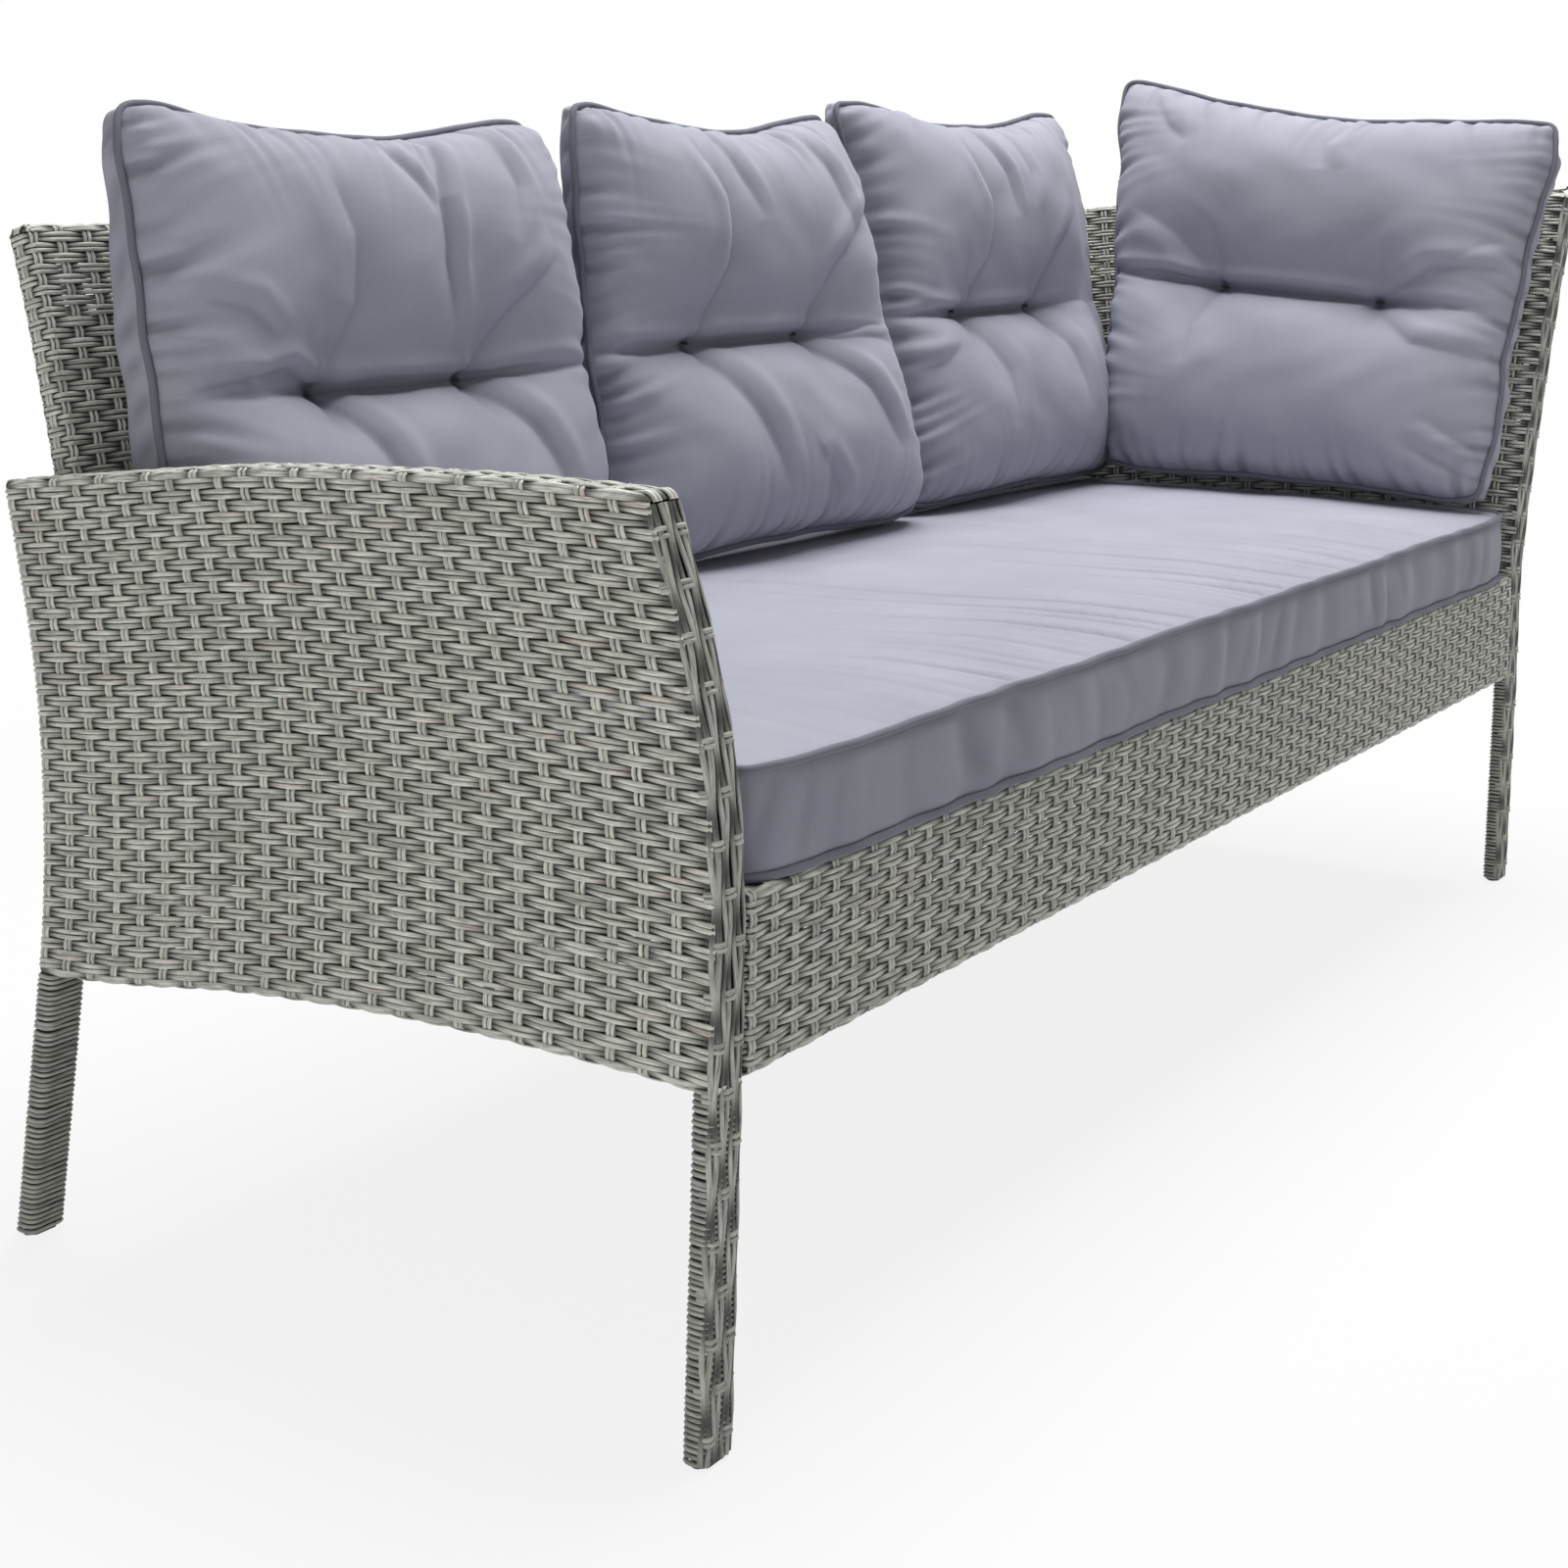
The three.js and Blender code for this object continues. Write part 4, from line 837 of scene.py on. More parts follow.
FOLDS_MIDDLE = [
    ([(-264, 0), (-165, 0), (-95, 0), (0, -1), (95, 0), (160, -6), (215, -14), (264, -30)], 9, 6.5),
    ([(-92, 5), (-62, 69), (-60, 141), (-92, 213)], 8, 9),
    ([(-40, 211), (-28, 169), (-8, 119)], 5, 8),
    ([(98, 5), (130, 69), (196, 121), (262, 141)], 6, 10),
    ([(120, 209), (150, 164), (170, 99)], 5, 9),
    ([(-92, -11), (-60, -81), (-30, -161)], 7, 11),
    ([(98, -11), (150, -66), (196, -141)], 8, 10),
    ([(40, -141), (70, -171), (78, -211)], 5, 9),
    ([(-262, 99), (-220, 89), (-180, 49)], 5, 8),
    ([(-262, 37), (-222, 31), (-190, 9)], 4, 7),
    ([(-262, -81), (-222, -71), (-190, -47)], 4, 8),
]
FOLDS_RIGHT = [
    ([(-264, 0), (-165, 0), (-95, 0), (0, -1), (95, 0), (170, -6)], 9, 6.5),
    ([(-92, 5), (-58, 59), (-56, 129), (-84, 209)], 8, 9),
    ([(-20, 209), (0, 165), (6, 109)], 6, 7),
    ([(98, 5), (124, 69), (170, 121)], 6, 10),
    ([(60, 207), (66, 167), (52, 121)], 4, 8),
    ([(-92, -11), (-70, -81), (-76, -151)], 6, 12),
    ([(98, -11), (120, -66), (126, -141)], 6, 10),
    ([(-262, -71), (-210, -63), (-160, -35)], 4, 8),
]
FOLDS_END = [
    ([(-264, 2), (-160, 4), (-95, 0), (0, -1), (95, 0), (190, -2), (262, -8)], 9, 6.5),
    ([(-98, 2), (-150, 54), (-210, 84)], 5, 10),
    ([(98, 2), (160, 44), (240, 54)], 6, 9),
    ([(98, -14), (150, -56), (240, -66)], 5, 9),
    ([(40, 224), (20, 189), (24, 154)], 5, 8),
    ([(-200, 224), (-180, 194), (-150, 174)], 4, 9),
    ([(262, -186), (210, -172), (170, -150)], 5, 8),
    ([(262, -212), (214, -212), (150, -186)], 5, 8),
    ([(262, 94), (220, 84), (180, 54)], 4, 8),
    ([(-98, -14), (-110, -66), (-108, -116)], 4, 12),
]
DEEPEST_FOLD = 9


def closer_rows(cells, place, gain, reach):
    """The rows of a grid from -1 to 1, closer together round one place."""
    fine = np.linspace(-1, 1, 4001)
    total = np.cumsum(1 + gain * np.exp(-((fine - place) / reach) ** 2))
    total = (total - total[0]) / (total[-1] - total[0])
    return np.interp(np.linspace(0, 1, cells + 1), total, fine)


def box_grid(cells_wide, cells_high, cells_deep, rows):
    """A closed box of cells: u, v and w of each vertex from -1 to 1, its quads, and its front and rear seams."""
    key, faces, places = {}, [], []

    def vertex(i, j, k):
        if (i, j, k) not in key:
            key[i, j, k] = len(places)
            places.append((2 * i / cells_wide - 1, rows[j], 2 * k / cells_deep - 1))
        return key[i, j, k]

    for i in range(cells_wide):
        for j in range(cells_high):
            faces.append([vertex(i, j, 0), vertex(i + 1, j, 0), vertex(i + 1, j + 1, 0), vertex(i, j + 1, 0)])
            faces.append([vertex(i, j, cells_deep), vertex(i, j + 1, cells_deep),
                          vertex(i + 1, j + 1, cells_deep), vertex(i + 1, j, cells_deep)])
    loop = [(i, 0) for i in range(cells_wide)] + [(cells_wide, j) for j in range(cells_high)]
    loop += [(i, cells_high) for i in range(cells_wide, 0, -1)] + [(0, j) for j in range(cells_high, 0, -1)]
    for (i, j), (m, n) in zip(loop, loop[1:] + loop[:1]):
        for k in range(cells_deep):
            faces.append([vertex(i, j, k), vertex(i, j, k + 1), vertex(m, n, k + 1), vertex(m, n, k)])
    seams = [[vertex(i, j, k) for i, j in loop] for k in (0, cells_deep)]
    return np.array(places), faces, seams


def soft_step(value, low, high):
    share = np.clip((value - low) / (high - low), 0, 1)
    return share * share * (3 - 2 * share)


def along_line(x, z, line):
    """How far points are from a line of (x, z) places, the share of its length where each is nearest, its side."""
    line = np.array(line, float)
    lengths = np.linalg.norm(np.diff(line, axis=0), axis=1)
    best, share, side = np.full(x.shape, np.inf), np.zeros(x.shape), np.ones(x.shape)
    for i, (a, b) in enumerate(zip(line, line[1:])):
        step = b - a
        t = np.clip(((x - a[0]) * step[0] + (z - a[1]) * step[1]) / (step @ step), 0, 1)
        distance = np.hypot(x - a[0] - t * step[0], z - a[1] - t * step[1])
        here = (lengths[:i].sum() + t * lengths[i]) / lengths.sum()
        share = np.where(distance < best, here, share)
        side = np.where(distance < best, np.sign(step[0] * (z - a[1]) - step[1] * (x - a[0])), side)
        best = np.minimum(best, distance)
    return best, share, side


def tube(path, first, second, radius, closed):
    """Points and quads of a tube along a path: first and second point out of it, square to each other."""
    turns = np.linspace(0, 2 * math.pi, TUBE_SIDES, endpoint=False)
    points = path[:, None] + (scaled(first[:, None], np.outer(radius, np.cos(turns)))
                              + scaled(second[:, None], np.outer(radius, np.sin(turns))))
    index = np.arange(len(path) * TUBE_SIDES).reshape(-1, TUBE_SIDES)
    ahead = np.roll(index, -1, 0)
    quads = np.stack([index, np.roll(index, -1, 1), np.roll(ahead, -1, 1), ahead], -1)
    return points.reshape(-1, 3), quads[:len(path) if closed else -1].reshape(-1, 4)


def soft_mesh(name, points, quads, material):
    mesh = bpy.data.meshes.new(name)
    mesh.from_pydata([tuple(p) for p in points], [], [list(map(int, quad)) for quad in quads])
    shell = bmesh.new()
    shell.from_mesh(mesh)
    bmesh.ops.recalc_face_normals(shell, faces=shell.faces)
    shell.to_mesh(mesh)
    shell.free()
    mesh.polygons.foreach_set("use_smooth", np.ones(len(mesh.polygons), bool))
    mesh.materials.append(material)
    piece = linked(name, mesh)
    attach(piece, "root")


class Cushion:
    """A cushion cover: its place, its cut, its seams, and the shape it settles into.

    Its own axes are x across, y from front to rear and z up from its lower seam. Each point also keeps u, v and w,
    from -1 to 1 across, up and through the cover.
    """

    def __init__(self, node, axes, origin, size, cells, ease, rows):
        self.node, self.axes, self.origin = node, axes, np.array(origin)
        self.wide, self.high, self.deep = size
        self.ease = ease
        self.places, self.faces, self.seams = box_grid(*cells, rows)

    def to_space(self, local):
        return to_scene(local @ self.axes.T + self.origin)

    def to_local(self, points):
        return (points * 1000 - SHIFT - self.origin) @ self.axes

    def write(self, target, values):
        target.foreach_set("co", self.to_space(values).astype(np.float32).ravel())

    def read(self):
        points = np.zeros(len(self.cover.data.vertices) * 3)
        self.cover.data.vertices.foreach_get("co", points)
        return self.to_local(points.reshape(-1, 3))

    def apply_modifier(self):
        """Makes what the cover's modifier shows its plain mesh."""
        made = bpy.data.meshes.new_from_object(self.cover.evaluated_get(bpy.context.evaluated_depsgraph_get()))
        self.cover.modifiers.clear()
        self.cover.shape_key_clear()
        self.cover.data = made

    def cut(self):
        """The cover laid flat, a little larger than the frame that its seams make."""
        u, v, w = self.places.T
        return np.stack([u * self.wide / 2 * (1 + self.ease[0]), w * self.deep / 2 * (1 + self.ease[2]),
                         (v * (1 + self.ease[1]) + 1) * self.high / 2], -1)

    def settle_setup(self):
        self.start = self.shape()
        mesh = bpy.data.meshes.new(self.node + "_cover")
        mesh.from_pydata([tuple(p) for p in self.to_space(self.start)], [], self.faces)
        mesh.update()
        self.cover = linked(self.node + "_cover", mesh)
        self.cover.shape_key_add(name="Basis")
        cut = self.cover.shape_key_add(name="cut")
        self.write(cut.data, self.cut())
        cut.value = 0
        group = self.cover.vertex_groups.new(name="sewn")
        group.add([int(i) for i in np.nonzero(self.sewn())[0]], 1.0, "REPLACE")
        modifier = self.cover.modifiers.new("cloth", "CLOTH")
        settings = modifier.settings
        settings.quality = 8
        settings.mass = 0.3
        settings.tension_stiffness = settings.compression_stiffness = 22
        settings.shear_stiffness = 8
        settings.bending_stiffness = 0.35
        settings.tension_damping = settings.compression_damping = settings.shear_damping = 12
        settings.bending_damping = 0.6
        settings.use_pressure = True
        settings.uniform_pressure_force = self.pressure
        settings.effector_weights.gravity = 0
        settings.vertex_group_mass = "sewn"
        settings.rest_shape_key = cut
        settings.air_damping = 4
        modifier.collision_settings.use_collision = False
        modifier.point_cache.frame_start = 1
        modifier.point_cache.frame_end = SETTLE_FRAMES

    def settle_result(self):
        """Takes the settled cover, no point further than the cap from where it started, and presses its folds in."""
        self.apply_modifier()
        moved = self.read() - self.start
        far = np.linalg.norm(moved, axis=-1, keepdims=True)
        local = self.start + moved * np.minimum(1, self.cap * np.tanh(far / self.cap) / np.maximum(far, 1e-6))
        self.local, self.painted_fold_shade = self.creased(self.refined(local))
        self.local = self.limit(self.local)

    def refined(self, local):
        """One smoothing subdivision of the settled cover, with u, v and w carried along to the new points."""
        self.write(self.cover.data.vertices, local)
        carried = self.cover.data.attributes.new("place", "FLOAT_VECTOR", "POINT")
        carried.data.foreach_set("vector", self.places.astype(np.float32).ravel())
        subdivision = self.cover.modifiers.new("smooth", "SUBSURF")
        subdivision.levels = subdivision.render_levels = 1
        self.apply_modifier()
        mesh = self.cover.data
        places = np.zeros(len(mesh.vertices) * 3)
        mesh.attributes["place"].data.foreach_get("vector", places)
        mesh.attributes.remove(mesh.attributes["place"])
        self.places = places.reshape(-1, 3)
        corners = np.zeros(len(mesh.loops), int)
        mesh.loops.foreach_get("vertex_index", corners)
        self.faces = corners.reshape(-1, 4)
        return self.read()

    def normals(self, local):
        """Outward normals of the cover's points."""
        quads = self.faces
        across = np.cross(local[quads[:, 2]] - local[quads[:, 0]], local[quads[:, 3]] - local[quads[:, 1]])
        total = np.zeros_like(local)
        for k in range(4):
            np.add.at(total, quads[:, k], across)
        middle = np.array([0, 0, self.high / 2])
        return unit(total) * np.sign(np.sum(total * (local - middle)))

    def finish(self):
        cover, mesh = self.cover, self.cover.data
        self.write(mesh.vertices, self.local)
        # Painted shade for cloth(): deep in folds, creases, gathers and the tufts' pits
        painted_fold_shade = mesh.attributes.new("painted_fold_shade", "FLOAT", "POINT")
        painted_fold_shade.data.foreach_set("value", self.painted_fold_shade.astype(np.float32))
        mesh.update()
        mesh.materials.clear()
        mesh.materials.append(cloth_look)
        mesh.polygons.foreach_set("use_smooth", np.ones(len(mesh.polygons), bool))
        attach(cover, "root")
        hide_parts(self.node)
        for label, seam in zip(("front", "rear"), self.seams[:self.corded]):
            self.piping(f"{self.node}_piping_{label}", seam)

    def piping(self, name, seam):
        """A covered cord sewn along a seam."""
        loop = self.local[seam + seam[:1]]
        length = np.concatenate([[0], np.cumsum(np.linalg.norm(np.diff(loop, axis=0), axis=1))])
        count = int(length[-1] / PIPING_STEP)
        s = np.linspace(0, length[-1], count, endpoint=False)
        path = np.stack([np.interp(s, length, loop[:, k]) for k in range(3)], -1)
        for _ in range(3):
            path = (np.roll(path, 1, 0) + 2 * path + np.roll(path, -1, 0)) / 4
        tangent = unit(np.roll(path, -1, 0) - np.roll(path, 1, 0))
        through = np.broadcast_to([0.0, 1.0 if path[:, 1].mean() > 0 else -1.0, 0.0], path.shape)
        outward = unit(np.cross(tangent, through))
        centre = np.array([0, 0, self.high / 2])
        outward = outward * np.sign(np.sum(outward * (path - centre), -1, keepdims=True))
        path = path + (outward * 0.6 + through * 0.35) * PIPING_RADIUS
        points, quads = tube(path, outward, through, np.full(count, PIPING_RADIUS), closed=True)
        soft_mesh(name, self.to_space(points), quads, piping_look)


class Tufted(Cushion):
    """A cushion that stands on its lower edge, with two tufts and a crease through them."""

    pressure, cap, fill, corded = 4.2, 26.0, 0.75, 1

    def __init__(self, node, axes, origin, wide, high, crown, folds, tufts, sides, flare=0.0, tilt=0.0, press=0.0,
                 squeeze=0.0, swell=SWELL_POWER):
        """tufts: middle, share of the height, spacing. sides: how far out the left and the right side stand, each
        at the foot, halfway and at the top. flare: how much wider it is at the top. tilt: how much lower its right
        upper corner is. press: how much flatter its right side is. squeeze: how much thinner its left side is.
        swell: the lower, the sooner the front swells from its edges."""
        self.tuft_middle, tuft_share, self.tuft_spacing = tufts
        super().__init__(node, axes, origin, (wide, high, CUSHION_GUSSET), TUFTED_CELLS, TUFTED_EASE,
                         closer_rows(TUFTED_CELLS[1], 2 * tuft_share - 1, 1.8, 0.06))
        self.sides, self.crown, self.folds, self.flare, self.tilt = sides, crown, folds, flare, tilt
        self.press, self.squeeze, self.swell = press, squeeze, swell
        self.tuft_places = (self.tuft_middle - self.tuft_spacing / 2, self.tuft_middle + self.tuft_spacing / 2)
        self.tuft_height = tuft_share * high
        self.seed = sum(map(ord, node)) % 17 / 2.3

    def outline(self):
        """Places across and up, with drawn-in seams, rounded ears, wavering sides and a sag to either side."""
        u, v, _ = self.places.T
        half_width = self.wide / 2 - SIDE_DRAW * (1 - v ** 2) - EAR_ROUND * v ** 8
        half_height = self.high / 2 - np.where(v > 0, TOP_DRAW, TOP_DRAW / 3) * (1 - u ** 2) - EAR_ROUND * u ** 8
        run, seed = v * self.high / 2, self.seed
        wobble = np.abs(u) ** 8 * (1.9 * np.sin(run / 27 + seed + 2 * u) + 1.3 * np.sin(run / 12.5 + seed * 2 + u))
        left, right = (np.interp(v, (-1, -0.5, 0, 0.5, 1), (
            foot, 0.375 * foot + 0.75 * halfway - 0.125 * top, halfway,
            -0.125 * foot + 0.75 * halfway + 0.375 * top, top)) for foot, halfway, top in self.sides)
        x = u * half_width * (1 + self.flare * v) - left * (1 - u) / 2 + right * (1 + u) / 2 + wobble
        return x, self.high / 2 + v * half_height - self.tilt * u * (1 + v) / 2

    def over_crease(self, z):
        u, v, _ = self.places.T
        return z + self.tilt * u * (1 + v) / 2 - self.tuft_height

    def near_crease(self, x, low, high):
        """1 between the tufts, and less the further a place lies beside them, from low to high."""
        return 1 - soft_step(np.abs(x - self.tuft_middle) - self.tuft_spacing / 2, low, high)

    def shape(self):
        u, v, w = self.places.T
        x, z = self.outline()
        up = self.over_crease(z)
        full = np.clip((1 - u ** 4) * (1 - v ** 4), 0, 1) ** self.swell
        low = np.zeros_like(x)
        for place in self.tuft_places:
            away = np.hypot(x - place, up)
            low += 36 * np.exp(-(away / 60) ** 1.5) + 22 * np.exp(-(away / 14) ** 1.2)
        slow, steep = np.where(up > 0, 54, 30), np.where(up > 0, 15, 4)
        crease = 30 * np.exp(-(up / slow) ** 2) + 20 * np.exp(-np.abs(up) / steep)
        low += (0.25 + 0.75 * self.near_crease(x, -5, 160)) * crease
        low = TUFT_DEPTH * np.tanh(low / TUFT_DEPTH)
        pressed = soft_step(x, self.wide / 2 - PRESS_WIDTH, self.wide / 2 - PRESS_WIDTH / 3) * self.press
        y = w * self.deep / 2
        y = np.where(w < -FACE, y - (self.crown * full - low * np.minimum(1, full * 1.3)) * (1 - pressed), y)
        y = np.where(w > FACE, y + CUSHION_BACK * full, y)
        ears = soft_step(v, 0.1, 1.0) * soft_step(np.abs(u), 0.5, 1.0)
        y = y - (w + 1) / 2 * self.deep * EAR_PINCH * ears
        y = y + (1 - w) / 2 * self.squeeze * soft_step(-u, 0.5, 1.0) * (1 - ears)
        return np.stack([x, y, z], -1)

    def sewn(self):
        u, v, w = self.places.T
        x, up = self.start[:, 0], self.over_crease(self.start[:, 2])
        front = w < -FACE
        held = (w > FACE) | (front & ((np.abs(u) > FACE) | (np.abs(v) > FACE)))
        for place in self.tuft_places:
            held |= front & (np.hypot(x - place, up) < NEAR_TUFT)
        return held | (front & (np.abs(x - self.tuft_middle) < self.tuft_spacing / 2) & (np.abs(up) < NEAR_CREASE))

    def puckers(self, run, away, far, turn, gather):
        """Gathers along a seam, and the painted shade in their hollows: run goes along it, away from it, and far is
        its right or its upper side.
        """
        seed = self.seed
        turn = np.where(far, 1.7, 0.0) + turn
        strength = 0.45 + 0.55 * np.sin(run / 47 + seed * 3 + turn) ** 2
        slant = run + away * 0.35 * np.sin(run / 60 + seed + turn)
        wave = (np.sin(slant / 3.7 + 2 * np.sin(run / 31 + seed) + turn)
                + 0.9 * np.sin(slant / 6.3 + seed * 5 + turn) + 0.5 * np.sin(slant / 11 + turn * 2))
        length = 16 + 22 * np.sin(run / 23 + seed * 2 + turn) ** 2
        push = gather * strength * wave * np.exp(-away / length) * soft_step(away, 0.5, 9)
        return push, np.clip(-wave * strength, 0, 1) * GATHER_SHADE * np.exp(-away / (0.6 * length))

    def creased(self, local):
        """Folds pressed into the front after settling, puckers where the cover is gathered on its seams, and crumpled
        gussets. Also the painted shade of each point, from 0 to 1: in folds, puckers, crumples, the crease and the
        tufts."""
        u, v, w = self.places.T
        front = w < -FACE
        x, z = local[:, 0], local[:, 2]
        up, seed = self.over_crease(z), self.seed
        across = (x - self.tuft_middle) * TUFT_SPACING / self.tuft_spacing
        inset = np.minimum(1, np.minimum(1 - np.abs(u), 1 - np.abs(v)) * 11)
        push, deep = np.zeros(len(x)), np.zeros(len(x))
        for line, depth, width in self.folds:
            distance, share, side = along_line(across, up, line)
            fade = np.sin(np.pi * np.clip(0.12 + 0.88 * share, 0, 1)) ** 0.7 * inset
            reach = np.where(side > 0, 0.55 * width, 2.1 * width)
            groove = np.exp(-(distance / reach) ** 1.3)
            ridge = np.exp(-((distance - 2.2 * width) / (1.1 * width)) ** 2) * (side > 0)
            push += depth * (RIDGE_SHARE * ridge - groove) * fade
            middle = np.exp(-(distance / (0.4 * width)) ** 2)
            # Painted shade deep in each fold
            deep = np.maximum(deep, middle * fade * depth / DEEPEST_FOLD * FOLD_SHADE)
        for gathers in ((z, (1 - np.abs(u)) * self.wide / 2, u > 0, 0.0, np.where(u > 0, GATHER_RIGHT, GATHER_LEFT)),
                        (x, (1 - np.abs(v)) * self.high / 2, v > 0, 0.9, GATHER_TOP)):
            pucker, shade = self.puckers(*gathers)
            push += front * pucker
            deep = np.maximum(deep, front * shade)
        push += RUMPLE * np.sin(x / 43 + 1.3 * np.sin(z / 37 + seed)) * np.sin(z / 51 + seed * 2 + x / 90)
        push += FINE_RUMPLE * np.sin(x / 17 + 2 * np.sin(z / 29 + seed)) * np.sin(z / 21 + seed + np.sin(x / 33))
        # Painted shade: a dark line along the crease, dark pits at the tufts with a wider ring round them, and the
        # underside of the lobe that overhangs the crease
        deep = np.maximum(deep, self.near_crease(x, 0, 70) * CREASE_SHADE
                          * np.exp(-np.abs(up) / np.where(up > 0, 2.6, 1.2)))
        for place in self.tuft_places:
            away = np.hypot(x - place, up)
            deep = np.maximum(deep, np.exp(-(away / 6.5) ** 2))
            deep += PIT_SHADE * np.exp(-away / 26) * (1 - deep)
        overhang = self.near_crease(x, 0, 130) * np.exp(-np.abs(up) / np.where(up > 0, 48, 7))
        deep += OVERHANG_SHADE * overhang * (1 - deep)
        run = np.where(np.abs(u) > FACE, z, x)
        sides = (np.abs(w) < FACE) * (1 - w ** 2)
        wave = np.sin(run / 6.8 + 2 * np.sin(run / 37) + w)
        gusset = sides * (2.6 * wave + 2.0 * np.sin(run / 15 + seed - 0.7 * w))
        push = np.where(front, push, gusset)
        # The gussets get painted shade in the hollows of their crumples
        return (local + self.normals(local) * push[:, None],
                np.where(front, deep, sides * np.clip(-wave, 0, 1) * GUSSET_SHADE))

    def finish(self):
        """The cover and its cord, and the knotted thread that holds each tuft."""
        super().finish()
        front = self.places[:, 2] < -FACE
        up = self.over_crease(self.local[:, 2])
        points, quads = [], []
        along = np.linspace(-1, 1, 13)
        radius = 1.15 + 0.9 * np.exp(-(along / 0.3) ** 2) - 0.9 * np.abs(along) ** 6
        outward, upward = (np.broadcast_to(axis, (len(along), 3)) for axis in ([0, 1, 0], [0, 0, 1]))
        for place, slant in zip(self.tuft_places, (-0.8, 0.8)):
            away = np.where(front, np.hypot(self.local[:, 0] - place, up), np.inf)
            line = self.local[np.argmin(away)] + np.stack([6.5 * along, -2.2 - 2.4 * (1 - along ** 2),
                                                           slant * along], -1)
            thread, sides = tube(line, outward, upward, radius, closed=False)
            ends = np.array([range(TUBE_SIDES), range(len(thread) - TUBE_SIDES, len(thread))])
            quads += [*(sides + len(points)), *(ends + len(points))]
            points += [*thread]
        soft_mesh(f"{self.node}_tuft_threads", self.to_space(np.array(points)), quads, thread_look)

    def limit(self, local):
        """Nothing hangs below the seam that the cushion stands on."""
        local[:, 2] = np.maximum(local[:, 2], 0)
        return local


class Boxed(Cushion):
    """The seat cushion: its front face is its top, and its height runs from the sofa's front to its rear."""

    pressure, cap, fill, corded = 2.0, 9.0, 0.85, 2

    def shape(self):
        u, v, w = self.places.T
        full = np.clip((1 - np.abs(u) ** 8) * (1 - v ** 4), 0, 1) ** 0.6
        wander = 2.6 * np.sin(u * 37 + np.cos(u * 23) * 2) + 1.6 * np.sin(u * 71 + 1.3)
        bulge = (1 - w ** 2) * 3.0
        x = u * (self.wide / 2 - EAR_ROUND * np.abs(v) ** 12) + np.where(np.abs(u) > FACE, np.sign(u) * bulge * 0.4, 0)
        z = v * (self.high / 2 - EAR_ROUND * np.abs(u) ** 20) + self.high / 2 - (v < -FACE) * wander * 0.8
        z = z + np.where(np.abs(v) > FACE, np.sign(v) * bulge, 0)
        y = w * self.deep / 2 - (w < -FACE) * (SEAT_CROWN - CREASE_ROOM) * full
        return np.stack([x, y, z], -1)

    def sewn(self):
        u, v, w = self.places.T
        edge = (np.abs(u) > FACE) | (np.abs(v) > FACE)
        return (w > FACE) | (edge & (w < -FACE)) | (v > 0.4)

    def creased(self, local):
        """Fine creases that run back from the front seam, and soft ones down the front gusset. Also the painted shade
        of
        each point, from 0 to 1: in the creases, and over all of the front gusset."""
        _, v, w = self.places.T
        x, back = local[:, 0], (v + 1) / 2 * self.high
        run = x + 0.28 * back + 16 * np.sin(back / 95 + x / 210)
        here = np.exp(-((x + 60) / 560) ** 4) * (0.4 + 0.6 * np.sin(x / 88 + 0.7) ** 2)
        reach = 110 + 150 * np.sin(x / 133 + 0.4) ** 2
        lines = (np.sin(run / 4.4 + 2 * np.sin(run / 90)) + 0.9 * np.sin(run / 7.3 + 1.3)
                 + 0.7 * np.sin(run / 12.1 + 0.5))
        lines = lines * here * np.exp(-(back / reach) ** 1.6) * soft_step(back, 1, 14)
        top = SEAT_FOLD * lines
        top += SEAT_RUMPLE * np.sin(x / 61 + 2 * np.sin(back / 83)) * np.sin(back / 57 + x / 300)
        wave = np.sin(x / 9.5 + 3 * np.sin(x / 61) + 1.6 * np.sin(1.4 * w + x / 140))
        crumple = (0.25 + 0.75 * np.sin(x / 97 + 1) ** 2) * (1 - w ** 2)
        side = (wave + 0.8 * np.sin(x / 23 + 2)) * crumple * SEAT_SIDE_FOLD
        face, gusset = w < -FACE, (v < -FACE) & (np.abs(w) < FACE)
        push = np.where(face, np.minimum(top, CREASE_ROOM - 0.1), 0) + np.where(gusset, side, 0)
        # Painted shade in the creases of the top, and over the whole front gusset with more in its creases
        dark = np.where(face, SEAT_FOLD_SHADE * np.clip(-lines, 0, 1.3), 0)
        dark += np.where(gusset, SEAT_GUSSET_PAINTED_SHADE + SEAT_SIDE_SHADE * np.clip(-wave, 0, 1) * crumple, 0)
        return local + self.normals(local) * push[:, None], dark

    def limit(self, local):
        """It lies flat on the deck, and stays under the cushions that stand on it."""
        local[:, 1] = np.clip(local[:, 1], -self.deep / 2 - SEAT_CROWN, self.deep / 2)
        return local


def turned(*turns):
    made = Matrix.Identity(3)
    for axis, angle in turns:
        made = made @ Matrix.Rotation(angle, 3, axis)
    return np.array(made)


def lowest(node):
    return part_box(node)[0].z * 1000


def back_cushion(node, middle, wide, off, **shaped):
    """A cushion at the back: middle and wide are shares of the seat's length, off its distance from the back."""
    origin = (END_THICK + middle * SEAT_LENGTH,
              WAIST_DEPTH - BACK_THICK - CUSHION_BACK - CUSHION_GUSSET / 2 - off,
              lowest(node) + CUSHION_GUSSET / 2 * math.sin(CUSHION_LEAN))
    return Tufted(node, turned(("X", -CUSHION_LEAN)), origin, wide * SEAT_LENGTH, **shaped)


